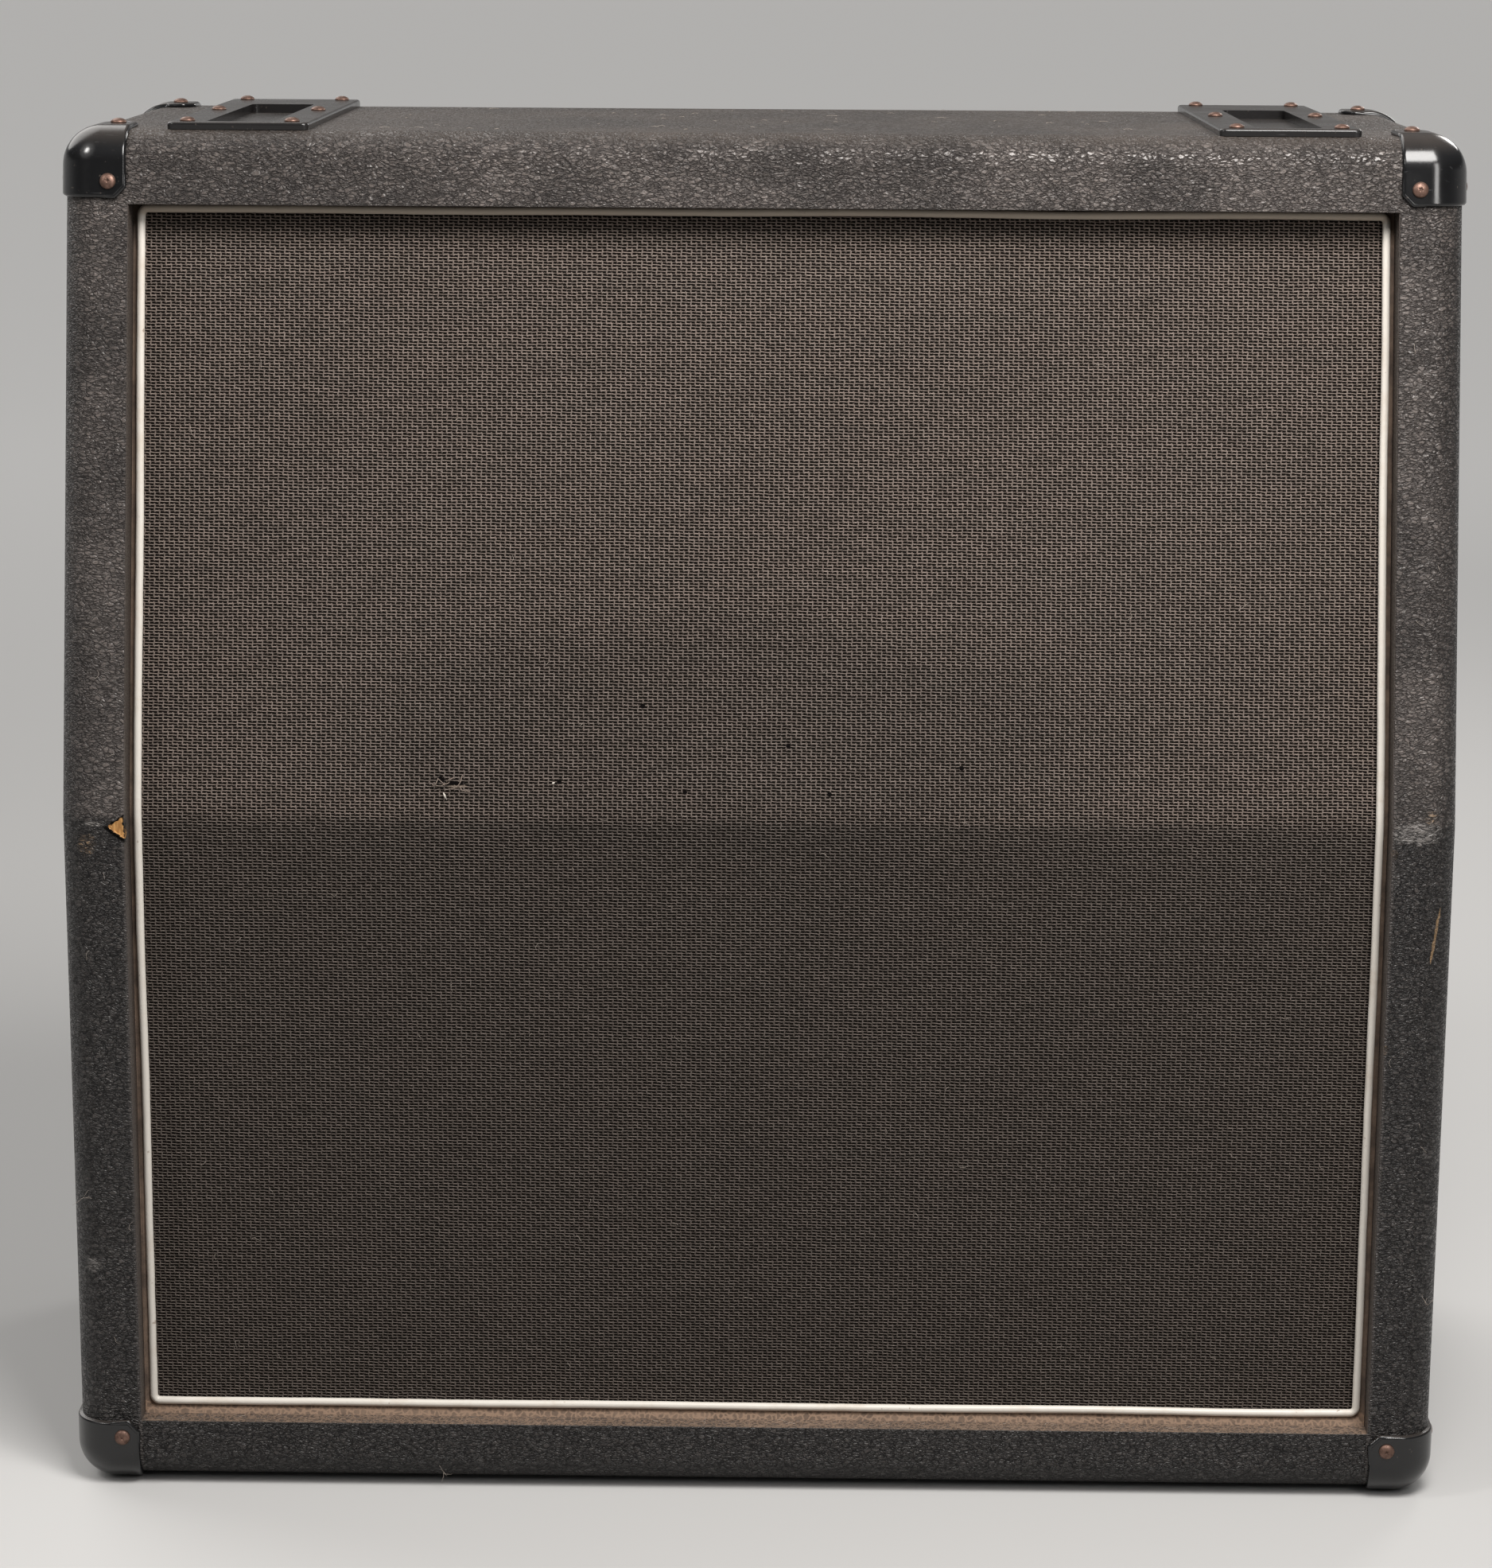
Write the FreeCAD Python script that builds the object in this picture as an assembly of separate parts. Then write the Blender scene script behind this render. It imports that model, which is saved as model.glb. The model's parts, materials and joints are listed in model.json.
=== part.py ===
"""Angled guitar speaker cabinet: four twelve-inch speakers in a closed, vinyl-covered plywood box.

Millimetres. X runs to the right seen from the front, Y to the back, Z up.
The origin is on the floor under the middle of the cabinet.
"""
import FreeCAD
import Part
import math
import os

V = FreeCAD.Vector

# Overall box, measured over the vinyl.
cabinet_width = 765.4
cabinet_top = 756.6          # floor to top face
cabinet_depth = 362.8        # at the floor
top_depth = 285.8            # at the top, because the upper front leans back
break_height = 389.2         # floor to the bend in the front
edge_radius = 20.0           # round-over on every outer edge
vinyl_thickness = 0.8
panel_thickness = 18.0
finger_pitch = 30.0          # box joints of the four panels

# Border round the front and rear openings, measured over the vinyl.
side_border = 36.8
top_border = 39.4
bottom_border = 36.8
lip_strip_depth = 54.0       # wooden strips that widen the walls to the border
cleat_size = 16.0

# Front baffle with its cloth and piping.
cloth_recess = 17.2          # front face of the border to the front of the cloth
cloth_thickness = 1.0
baffle_thickness = 18.0
baffle_gap = 2.0             # round the baffle, inside the border
piping_diameter = 4.4
piping_corner_radius = 6.0
piping_bend_radius = 12.0
piping_inset = 2.7           # piping centre inside the baffle's edge
piping_seat = 0.1            # cloth to piping
lining_past_cloth = 8.0      # vinyl turned in past the cloth
batten_thickness = 20.0
batten_above = 8.0           # batten behind the bend, up and down from it
batten_below = 16.0
batten_end_gap = 0.5
brace_width = 40.0
brace_height = 44.0

# Rear panel.
back_recess = 6.0
back_thickness = 15.0
back_gap = 1.5
back_screw_inset = 9.0
back_screw_columns = 5
back_screw_rows = 5
brace_screw_spacing = 24.0

# Corner protectors.
corner_thickness = 2.4
corner_reach_x = 35.2
corner_reach_y = 44.0
corner_reach_z = 36.0
corner_chamfer = 6.0
corner_rim_radius = 1.6
corner_screw_x = 25.9        # screw places, from the cabinet's faces
corner_screw_y = 31.9
corner_screw_z = 27.5

# Castor dishes on the top.
dish_side_inset = 94.4       # cabinet's side to the middle of a dish
dish_width = 78.0
dish_front_inset = 12.6      # behind the top front edge
dish_rear_inset = 15.2
dish_rim = 4.0               # above the vinyl
dish_recess_width = 36.8
dish_recess_length = 187.0
dish_recess_from_front = 9.0
dish_recess_depth = 5.0
dish_floor = 2.0
dish_well_gap = 0.3
dish_corner_radius = 4.0
dish_edge_radius = 1.6
dish_screw_spacing_x = 57.6
dish_screw_end = 10.0        # end screws from the dish's ends

# Recessed side handles.
handle_height = 420.0
handle_y = 15.0
handle_strip_gap = 19.4      # room at the flange's ends, against the length between the border strips
handle_flange_height = 116.0
handle_flange_thickness = 3.0
handle_mouth_border = 20.0   # flange left at each end of the mouth
handle_mouth_height = 84.0
handle_cup_depth = 58.0
handle_wall = 3.0
handle_corner_radius = 14.0
handle_hole_clearance = 1.0
handle_screw_end = 15.0      # screws from the flange's ends
handle_screw_up = 50.5       # and from its middle line
grip_diameter = 22.0
grip_sink = 16.0             # flange face to the grip's centre
grip_above_centre = 12.0

# Castor sockets under the bottom, whose plates the cabinet rests on.
socket_plate_side = 54.0
socket_plate_corner = 6.0
socket_plate_thickness = 3.0
socket_bore = 11.4
socket_end_wall = 3.0
socket_sleeve_outer = 16.0
socket_sleeve_length = 40.0
socket_sleeve_gap = 0.2
socket_inset_x = 62.0
socket_inset_y = 72.0
socket_screw_spacing = 40.0

# Jack plate on the rear panel.
jack_plate_height = 230.0
jack_plate_width = 150.0
jack_plate_tall = 74.0
jack_plate_thickness = 2.0
jack_plate_corner = 8.0
jack_cut_width = 124.0
jack_cut_tall = 48.0
jack_screw_spacing_x = 136.0
jack_screw_spacing_z = 60.0
jack_spacing = 84.0
jack_bore = 6.5
jack_bore_length = 31.0
jack_bush_diameter = 11.0
jack_bush_proud = 4.0
jack_nut_across = 16.0
jack_nut_thickness = 2.5
jack_body_side = 18.0
jack_body_length = 33.0
jack_fit_gap = 0.1
switch_width = 26.0
switch_tall = 12.0
switch_deep = 11.0
switch_knob_width = 7.0
switch_knob_tall = 5.0
switch_knob_proud = 5.0
switch_travel = 6.0
switch_clearance = 0.4
switch_pocket = 6.0          # how far the knob's foot reaches into the switch

# Speakers, in their own frame: the flange's front face at 0, the front in +Z.
speaker_gap = 4.2            # flange to the cleats and the batten
flange_width = 13.0
frame_wall = 1.6
ledge_width = 7.0
ledge_depth = 6.0
cup_radius = 56.0
shelf_radius = 66.0
shelf_depth = 62.0
cup_depth = 84.0
frame_hole = 30.0
window_count = 8
window_angle = 27.0
window_margin = 9.0
cone_ledge_gap = 7.0         # cone's edge inside the ledge
cone_neck_depth = 55.0
cone_paper = 1.0
coil_radius = 22.6
coil_wall = 0.6
coil_length = 42.0
coil_gap = 0.8               # coil to pole, and coil to front plate
glue_gap = 0.1
dust_cap_radius = 38.0
dust_cap_rise = 13.0
dust_cap_steps = 8
plate_radius = 62.0
plate_thickness = 8.0
ferrite_radius = 78.0
ferrite_thickness = 20.0
ferrite_bore = 40.0
suspension_wall = 0.8
suspension_gap = 0.3
surround_flat = 1.5          # flat band at each edge of the surround
surround_roll = 3.0
spider_flat = 6.0
spider_wave = 2.0
spider_waves = 4
wave_steps = 8
terminal_width = 14.0
terminal_length = 10.0
terminal_rise = 9.0
terminal_depth = 75.0
speaker_bolt_inset = 6.0
speaker_bolts_each = 4
speaker_bolt_reach = 14.0    # into the baffle
wire_diameter = 4.0
wire_aside = 34.0            # wires pass this far beside the middle
wire_straight = 60.0         # behind each jack
wire_spread = 5.0

# Screws: head radius, head height (0 is flush), shank radius, shank length.
corner_screw = (4.35, 2.6, 1.7, 18.0)
dish_screw = (4.2, 2.5, 1.6, 15.0)
handle_screw = (3.8, 2.2, 1.6, 16.0)
back_screw = (4.4, 2.6, 2.0, 26.0)
plate_screw = (3.4, 2.0, 1.5, 12.0)
socket_screw = (3.2, 0.0, 1.5, 15.0)
speaker_bolt = (4.6, 3.6, 2.4, frame_wall + speaker_bolt_reach)
hole_clearance = 0.15

# Places that follow from the sizes.
front_y = -cabinet_depth / 2
rear_y = cabinet_depth / 2
bottom_z = socket_plate_thickness
half_width = cabinet_width / 2
tilt = math.atan2(cabinet_depth - top_depth, cabinet_top - break_height)
opening_half = half_width - side_border
opening_low = bottom_z + bottom_border
opening_high = cabinet_top - top_border
inner_half = half_width - vinyl_thickness - panel_thickness
inner_low = bottom_z + vinyl_thickness + panel_thickness
inner_high = cabinet_top - vinyl_thickness - panel_thickness
strip_half = opening_half + vinyl_thickness
strip_low = opening_low - vinyl_thickness
strip_high = opening_high + vinyl_thickness
strip_reach = vinyl_thickness + lip_strip_depth
between_cleats = strip_half - cleat_size
baffle_front = cloth_recess + cloth_thickness
baffle_rear = baffle_front + baffle_thickness
baffle_half = opening_half - baffle_gap
baffle_low = opening_low + baffle_gap
baffle_high = opening_high - baffle_gap
batten_rear_y = front_y + baffle_rear + batten_thickness
back_face_y = rear_y - back_recess
board_rear_y = back_face_y - vinyl_thickness
board_front_y = board_rear_y - back_thickness
back_half = opening_half - back_gap
back_low = opening_low + back_gap
back_high = opening_high - back_gap
dish_centre_x = half_width - dish_side_inset
dish_length = top_depth - dish_front_inset - dish_rear_inset
dish_screw_spacing_y = dish_length / 2 - dish_screw_end
handle_flange_length = cabinet_depth - 2 * (lip_strip_depth + handle_strip_gap)
handle_mouth_length = handle_flange_length - 2 * handle_mouth_border
handle_screw_along = handle_flange_length / 2 - handle_screw_end
far = 2 * (cabinet_width + cabinet_depth)
backward = V(0, 1, 0)
upward = V(0, 0, 1)
forward = V(0, -1, 0)
leaning = V(0, -math.cos(tilt), math.sin(tilt))     # out of the upper front
up_slope = V(0, math.sin(tilt), math.cos(tilt))     # up along the upper front


def box(x0, x1, y0, y1, z0, z1):
    return Part.makeBox(x1 - x0, y1 - y0, z1 - z0, V(x0, y0, z0))


def prism(outline, x0, x1):
    """An outline of (y, z) points, carried from x0 to x1."""
    corners = [V(x0, y, z) for y, z in outline]
    face = Part.Face(Part.makePolygon(corners + [corners[0]]))
    return face.extrude(V(x1 - x0, 0, 0))


def rounded_plate(width, height, thickness, radius):
    """A plate in X and Y with round corners, centred, from z 0 to its thickness."""
    plate = box(-width / 2, width / 2, -height / 2, height / 2, 0, thickness)
    uprights = [e for e in plate.Edges if e.BoundBox.ZLength > thickness / 2]
    return plate.makeFillet(radius, uprights)


def softened_plate(width, height, thickness, radius, edge):
    """A plate with round corners and a rounded upper edge."""
    plate = rounded_plate(width, height, thickness, radius)
    rim = [e for e in plate.Edges if e.BoundBox.ZMin > thickness / 2]
    return plate.makeFillet(edge, rim)


def turned(outline):
    """A solid turned about Z from (radius, z) points."""
    corners = [V(r, 0, z) for r, z in outline]
    face = Part.Face(Part.makePolygon(corners + [corners[0]]))
    return face.revolve(V(0, 0, 0), upward, 360)


def ring(inner, outer, z0, z1):
    return turned([(inner, z0), (outer, z0), (outer, z1), (inner, z1)])


def moved(shape, point, rotation=FreeCAD.Rotation()):
    copy = shape.copy()
    copy.Placement = FreeCAD.Placement(point, rotation).multiply(shape.Placement)
    return copy


def facing(shape, point, direction):
    """The shape with its own +Z turned to a direction and its origin put at a point."""
    return moved(shape, point, FreeCAD.Rotation(upward, direction))


def easy_radii(points):
    """The widest arcs that the runs beside each corner of an open cord leave room for."""
    radii = []
    for before, corner, after in zip(points, points[1:], points[2:]):
        come, go = corner - before, after - corner
        radii.append(0.45 * min(come.Length, go.Length) / math.tan(come.getAngle(go) / 2))
    return radii


def rounded_cord(points, radii, diameter, closed=False):
    """A round cord along straight runs, with an arc at each corner. A closed one starts mid-run."""
    if closed:
        start = (points[0] + points[-1]) * 0.5
        points = [start] + points + [start]
    here = points[0]
    edges = []
    for before, corner, after, radius in zip(points, points[1:], points[2:], radii):
        come = (corner - before).normalize()
        go = (after - corner).normalize()
        half_turn = come.getAngle(go) / 2
        reach = radius * math.tan(half_turn)
        arc_middle = corner + (go - come).normalize() * (radius / math.cos(half_turn) - radius)
        arc_start = corner - come * reach
        arc_end = corner + go * reach
        edges.append(Part.LineSegment(here, arc_start).toShape())
        edges.append(Part.Arc(arc_start, arc_middle, arc_end).toShape())
        here = arc_end
    edges.append(Part.LineSegment(here, points[-1]).toShape())
    section = Part.Wire(Part.makeCircle(diameter / 2, points[0], points[1] - points[0]))
    if closed:
        return Part.Solid(Part.Shell(Part.Wire(edges).makePipe(section).Faces))
    return Part.Wire(edges).makePipeShell([section], True, False)


# The front is a line at an offset behind the border's face, bent at the break.
def bend_point(offset):
    return front_y + offset, break_height - offset * math.tan(tilt / 2)


def front_at(offset, z):
    """Y of the front at a height, at an offset behind the border's face."""
    y, bend_z = bend_point(offset)
    return y + max(0.0, z - bend_z) * math.tan(tilt)


def lower_layer(near, deep, low):
    """Outline of the upright part of a layer between two offsets, down from the bend."""
    return [(front_y + near, low), bend_point(near), bend_point(deep), (front_y + deep, low)]


def upper_layer(near, deep, high):
    """Outline of the leaning part of a layer between two offsets, up from the bend."""
    return [bend_point(near), (front_at(near, high), high), (front_at(deep, high), high), bend_point(deep)]


def bent_layer(near, deep, low, high):
    """Outline of a whole layer behind the front, between two offsets and two heights."""
    return [
        (front_y + near, low), bend_point(near), (front_at(near, high), high),
        (front_at(deep, high), high), bend_point(deep), (front_y + deep, low),
    ]


def outer_form(inset):
    """The cabinet's outside with every edge rounded, shrunk by an inset (a negative one grows it)."""
    core_top = cabinet_top - edge_radius
    core = [
        (front_y + edge_radius, bottom_z + edge_radius), bend_point(edge_radius),
        (front_at(edge_radius, core_top), core_top), (rear_y - edge_radius, core_top),
        (rear_y - edge_radius, bottom_z + edge_radius),
    ]
    sharp = prism(core, -half_width + edge_radius, half_width - edge_radius)
    return sharp.makeOffsetShape(edge_radius - inset, 0.001, join=0)


# Screws.
def screw_solid(size):
    """A wood screw that sits on z 0 and points down, with a domed or a flush head."""
    head_radius, head_height, shank_radius, shank_length = size
    shank = Part.makeCylinder(shank_radius, shank_length, V(0, 0, -shank_length))
    if head_height == 0:
        sink = head_radius - shank_radius
        return shank.fuse(moved(Part.makeCone(shank_radius, head_radius, sink), V(0, 0, -sink)))
    ball_radius = (head_radius ** 2 + head_height ** 2) / (2 * head_height)
    ball = Part.makeSphere(ball_radius, V(0, 0, head_height - ball_radius))
    head = ball.common(Part.makeCylinder(head_radius, head_height))
    return shank.fuse(head).removeSplitter()


def screw_hole(size):
    """The hole that a screw goes in, with its clearance."""
    head_radius, head_height, shank_radius, shank_length = size
    radius = shank_radius + hole_clearance
    depth = shank_length + hole_clearance
    hole = Part.makeCylinder(radius, depth + shank_radius, V(0, 0, -depth))
    if head_height == 0:
        sink = head_radius - shank_radius
        wide = head_radius + hole_clearance
        hole = hole.fuse(moved(Part.makeCone(radius, wide, sink), V(0, 0, -sink)))
    return hole


class Screws:
    """One kind of screw at several places, each a point and an outward direction."""

    def __init__(self, size, places):
        self.solids = [facing(screw_solid(size), p, d) for p, d in places]
        self.holes = [facing(screw_hole(size), p, d) for p, d in places]

    def group(self):
        return Part.makeCompound(self.solids)


def drilled(shape, *kinds):
    """The shape with the holes of those screws that reach it."""
    reach = shape.BoundBox
    holes = [h for kind in kinds for h in kind.holes if reach.intersect(h.BoundBox)]
    return shape.cut(holes) if holes else shape


# Corner protectors, named by where they sit: signs along X, Y and Z.
corner_signs = {
    depth_word + "_" + height_word + "_" + side_word: (sx, sy, sz)
    for depth_word, sy in (("front", -1), ("rear", 1))
    for height_word, sz in (("top", 1), ("bottom", -1))
    for side_word, sx in (("left", -1), ("right", 1))
}


def corner_point(sx, sy, sz):
    """Where the faces over the vinyl would meet at that corner."""
    z = cabinet_top if sz > 0 else bottom_z
    y = rear_y if sy > 0 else front_at(0, z)
    return V(sx * half_width, y, z)


def corner_protector(outside, inside, sx, sy, sz):
    """A moulded cap: the layer over the vinyl, inside a block with clipped edges at that corner."""
    tip = corner_point(sx, sy, sz)
    heel = tip - V(sx * corner_reach_x, sy * corner_reach_y, sz * corner_reach_z)
    out = heel + V(sx * far, sy * far, sz * far)
    block = box(*sorted((heel.x, out.x)), *sorted((heel.y, out.y)), *sorted((heel.z, out.z)))
    at_heel = [e for e in block.Edges if any(v.Point.isEqual(heel, 1e-6) for v in e.Vertexes)]
    block = block.makeChamfer(corner_chamfer, at_heel)
    cap = block.common(outside).cut(inside)
    rim = [e for e in cap.Edges if lies_on(e, outside) and lies_on(e, block)]
    return cap.makeFillet(corner_rim_radius, rim)


def lies_on(edge, solid):
    """True if the middle of an edge is on a solid's surface."""
    middle = edge.valueAt((edge.FirstParameter + edge.LastParameter) / 2)
    return solid.Shells[0].distToShape(Part.Vertex(middle))[0] < 1e-4


def corner_screw_places():
    """One screw on each face of a protector, but none underneath."""
    places = []
    for sx, sy, sz in corner_signs.values():
        tip = corner_point(sx, sy, sz)
        x = tip.x - sx * corner_screw_x
        z = tip.z - sz * corner_screw_z
        outward = backward if sy > 0 else (leaning if sz > 0 else forward)
        face_y = rear_y if sy > 0 else front_at(0, z)
        places.append((V(x, face_y, z) + outward * corner_thickness, outward))
        side_y = rear_y - corner_screw_y if sy > 0 else front_at(corner_screw_y, z)
        places.append((V(tip.x + sx * corner_thickness, side_y, z), V(sx, 0, 0)))
        if sz > 0:
            places.append((V(x, tip.y - sy * corner_screw_y, tip.z + corner_thickness), upward))
    return places


# Castor dishes.
dish_front_y = front_at(0, cabinet_top) + dish_front_inset
dish_middle_y = dish_front_y + dish_length / 2
dish_recess_y = dish_front_y + dish_recess_from_front + dish_recess_length / 2
dish_recess_z = cabinet_top + dish_rim - dish_recess_depth


def dish_well(sx, grow):
    """The sunk underside of a dish, up to the vinyl."""
    width = dish_recess_width + 2 * (dish_floor + grow)
    length = dish_recess_length + 2 * (dish_floor + grow)
    low = dish_recess_z - dish_floor - grow
    well = rounded_plate(width, length, cabinet_top + grow - low, dish_corner_radius + dish_floor)
    return moved(well, V(sx * dish_centre_x, dish_recess_y, low))


def castor_dish(sx):
    """A moulded plate with a long recess for a castor, let into the top."""
    rim = softened_plate(dish_width, dish_length, dish_rim, dish_corner_radius, dish_edge_radius)
    rim = moved(rim, V(sx * dish_centre_x, dish_middle_y, cabinet_top))
    recess = rounded_plate(dish_recess_width, dish_recess_length, far, dish_corner_radius)
    recess = moved(recess, V(sx * dish_centre_x, dish_recess_y, dish_recess_z))
    return rim.fuse(dish_well(sx, 0.0)).removeSplitter().cut(recess)


def dish_screw_places():
    return [
        (V(sx * dish_centre_x + column * dish_screw_spacing_x / 2,
           dish_middle_y + row * dish_screw_spacing_y, cabinet_top + dish_rim), upward)
        for sx in (-1, 1) for column in (-1, 1) for row in (-1, 0, 1)
    ]


# Side handles, made with X along, Y up and +Z out, then turned to a side.
def on_side(shape, sx):
    turn = FreeCAD.Rotation(V(0, sx, 0), upward, V(sx, 0, 0), "ZXY")
    return moved(shape, V(sx * half_width, handle_y, handle_height), turn)


def handle_cup():
    flange = softened_plate(handle_flange_length, handle_flange_height, handle_flange_thickness,
                            handle_corner_radius, handle_flange_thickness / 2)
    cup = rounded_plate(handle_mouth_length + 2 * handle_wall, handle_mouth_height + 2 * handle_wall,
                        handle_cup_depth + handle_wall, handle_corner_radius + handle_wall)
    hollow = rounded_plate(handle_mouth_length, handle_mouth_height, far, handle_corner_radius)
    whole = flange.fuse(moved(cup, V(0, 0, -handle_cup_depth - handle_wall))).removeSplitter()
    return whole.cut(moved(hollow, V(0, 0, -handle_cup_depth)))


def handle_grip():
    """A round bar across the cup, from end wall to end wall."""
    end = V(-handle_mouth_length / 2, grip_above_centre, handle_flange_thickness - grip_sink)
    return Part.makeCylinder(grip_diameter / 2, handle_mouth_length, end, V(1, 0, 0))


def handle_hole():
    """The cut through a side for the cup."""
    grow = 2 * (handle_wall + handle_hole_clearance)
    hole = rounded_plate(handle_mouth_length + grow, handle_mouth_height + grow, 2 * handle_cup_depth,
                         handle_corner_radius + handle_wall)
    return moved(hole, V(0, 0, -handle_cup_depth))


def handle_screw_places():
    return [
        (V(sx * (half_width + handle_flange_thickness), handle_y + along * handle_screw_along,
           handle_height + up * handle_screw_up), V(sx, 0, 0))
        for sx in (-1, 1) for along in (-1, 0, 1) for up in (-1, 1)
    ]


# Castor sockets.
socket_points = [
    V(sx * (half_width - socket_inset_x), sy * (cabinet_depth / 2 - socket_inset_y), 0)
    for sx in (-1, 1) for sy in (-1, 1)
]


def castor_socket():
    """A plate with a sleeve that stands up into the bottom panel, bored for a castor's stem."""
    plate = rounded_plate(socket_plate_side, socket_plate_side, socket_plate_thickness, socket_plate_corner)
    sleeve = Part.makeCylinder(socket_sleeve_outer / 2, socket_sleeve_length)
    bore = Part.makeCylinder(socket_bore / 2, socket_sleeve_length - socket_end_wall)
    return plate.fuse(sleeve).cut(bore)


def socket_hole():
    return Part.makeCylinder(socket_sleeve_outer / 2 + socket_sleeve_gap, socket_sleeve_length + far / 2)


def socket_screw_places():
    half = socket_screw_spacing / 2
    return [(p + V(sx * half, sy * half, 0), V(0, 0, -1)) for p in socket_points
            for sx in (-1, 1) for sy in (-1, 1)]


# Wooden panels with finger joints.
def corner_fingers(first, side, level):
    """Blocks over every second finger of one long corner, from the first or the second finger on."""
    x0, x1 = sorted((side * inner_half, side * far))
    z0, z1 = (inner_high, far) if level > 0 else (-far, inner_low)
    count = int(cabinet_depth / finger_pitch) + 2
    return [box(x0, x1, front_y + i * finger_pitch, front_y + (i + 1) * finger_pitch, z0, z1)
            for i in range(first, count, 2)]


def wooden_panels(wood):
    """Top, bottom and sides from the wooden form, each without the other's fingers."""
    walls = wood.cut(box(-inner_half, inner_half, -far, far, inner_low, inner_high))
    panels = {}
    for name, level in (("top_panel", 1), ("bottom_panel", -1)):
        z0, z1 = (inner_high, far) if level > 0 else (-far, inner_low)
        slab = walls.common(box(-far, far, -far, far, z0, z1))
        panels[name] = slab.cut(corner_fingers(1, -1, level) + corner_fingers(1, 1, level))
    for name, side in (("left_side_panel", -1), ("right_side_panel", 1)):
        x0, x1 = sorted((side * inner_half, side * far))
        slab = walls.common(box(x0, x1, -far, far, -far, far))
        panels[name] = slab.cut(corner_fingers(0, side, 1) + corner_fingers(0, side, -1))
    return panels


def framed(layer, outer_half, outer_low, outer_high, half, low, high):
    """Four pieces of a layer round an opening: two uprights, and two between them."""
    zones = [
        box(-outer_half, -half, -far, far, outer_low, outer_high),
        box(half, outer_half, -far, far, outer_low, outer_high),
        box(-half, half, -far, far, high, outer_high),
        box(-half, half, -far, far, outer_low, low),
    ]
    return [layer.common(zone) for zone in zones]


def lip_strips():
    """Strips inside the walls that make the border, four in front and four behind."""
    under_vinyl = outer_form(vinyl_thickness)
    layer = bent_layer(0.0, strip_reach, inner_low, inner_high)
    front = prism(layer, -inner_half, inner_half).common(under_vinyl)
    rear = box(-inner_half, inner_half, rear_y - strip_reach, rear_y, inner_low, inner_high)
    rear = rear.common(under_vinyl)
    outer = (inner_half, inner_low, inner_high)
    inner = (strip_half, strip_low, strip_high)
    return framed(front, *outer, *inner) + framed(rear, *outer, *inner)


def cleats():
    """Square strips in front of the rear panel and behind the baffle, glued to the border strips."""
    outer = (strip_half, strip_low, strip_high)
    inner = (between_cleats, strip_low + cleat_size, strip_high - cleat_size)
    front = prism(bent_layer(baffle_rear, baffle_rear + cleat_size, strip_low, strip_high),
                  -strip_half, strip_half)
    rear = box(-strip_half, strip_half, board_front_y - cleat_size, board_front_y, strip_low, strip_high)
    return framed(front, *outer, *inner), framed(rear, *outer, *inner)


def bend_batten():
    """The wooden batten behind the bend, flat at the back."""
    bend_z = bend_point(baffle_rear)[1]
    low, high = bend_z - batten_below, bend_z + batten_above
    outline = [(front_y + baffle_rear, low), bend_point(baffle_rear),
               (front_at(baffle_rear, high), high), (batten_rear_y, high), (batten_rear_y, low)]
    reach = between_cleats - batten_end_gap
    return prism(outline, -reach, reach)


def centre_brace():
    middle = bend_point(baffle_rear)[1] + (batten_above - batten_below) / 2
    return box(-brace_width / 2, brace_width / 2, batten_rear_y, board_front_y,
               middle - brace_height / 2, middle + brace_height / 2)


def rear_panel_layer(y0, y1):
    return box(-back_half, back_half, y0, y1, back_low, back_high)


def back_screw_places():
    reach_x = back_half - back_screw_inset
    low, high = back_low + back_screw_inset, back_high - back_screw_inset
    spots = []
    for i in range(back_screw_columns):
        x = -reach_x + 2 * reach_x * i / (back_screw_columns - 1)
        spots += [(x, low), (x, high)]
    for i in range(1, back_screw_rows - 1):
        z = low + (high - low) * i / (back_screw_rows - 1)
        spots += [(-reach_x, z), (reach_x, z)]
    brace_z = centre_brace().BoundBox.Center.z
    spots += [(0, brace_z - brace_screw_spacing / 2), (0, brace_z + brace_screw_spacing / 2)]
    return [(V(x, back_face_y, z), backward) for x, z in spots]


# Jack plate, jacks and switch, made with X along, Y up and +Z out, then turned to the rear.
def on_rear(shape, x=0.0):
    turn = FreeCAD.Rotation(V(-1, 0, 0), upward, backward, "ZXY")
    return moved(shape, V(x, back_face_y, jack_plate_height), turn)


def jack_plate():
    plate = rounded_plate(jack_plate_width, jack_plate_tall, jack_plate_thickness, jack_plate_corner)
    radius = jack_bush_diameter / 2 + jack_fit_gap
    holes = [Part.makeCylinder(radius, far, V(s * jack_spacing / 2, 0, -far / 2)) for s in (-1, 1)]
    return plate.cut(holes + [switch_slot(far / 2, far / 2)])


def jack_cut():
    across, tall, deep = jack_cut_width / 2, jack_cut_tall / 2, 2 * back_thickness
    return box(-across, across, -deep, deep, -tall, tall)


def jack_socket():
    """A jack's housing with its threaded bush and the nut on it."""
    half = jack_body_side / 2
    proud = jack_plate_thickness + jack_bush_proud
    body = box(-half, half, -half, half, -jack_body_length, 0)
    bush = Part.makeCylinder(jack_bush_diameter / 2, proud)
    bore = Part.makeCylinder(jack_bore / 2, jack_bore_length, V(0, 0, proud - jack_bore_length))
    corner = jack_nut_across / math.sqrt(3)
    turns = [i * math.pi / 3 for i in range(7)]
    hexagon = [V(corner * math.cos(a), corner * math.sin(a), jack_plate_thickness) for a in turns]
    nut = Part.Face(Part.makePolygon(hexagon)).extrude(V(0, 0, jack_nut_thickness))
    nut = nut.cut(Part.makeCylinder(jack_bush_diameter / 2 + jack_fit_gap, far))
    return Part.makeCompound([body.fuse(bush).cut(bore), nut])


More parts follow.
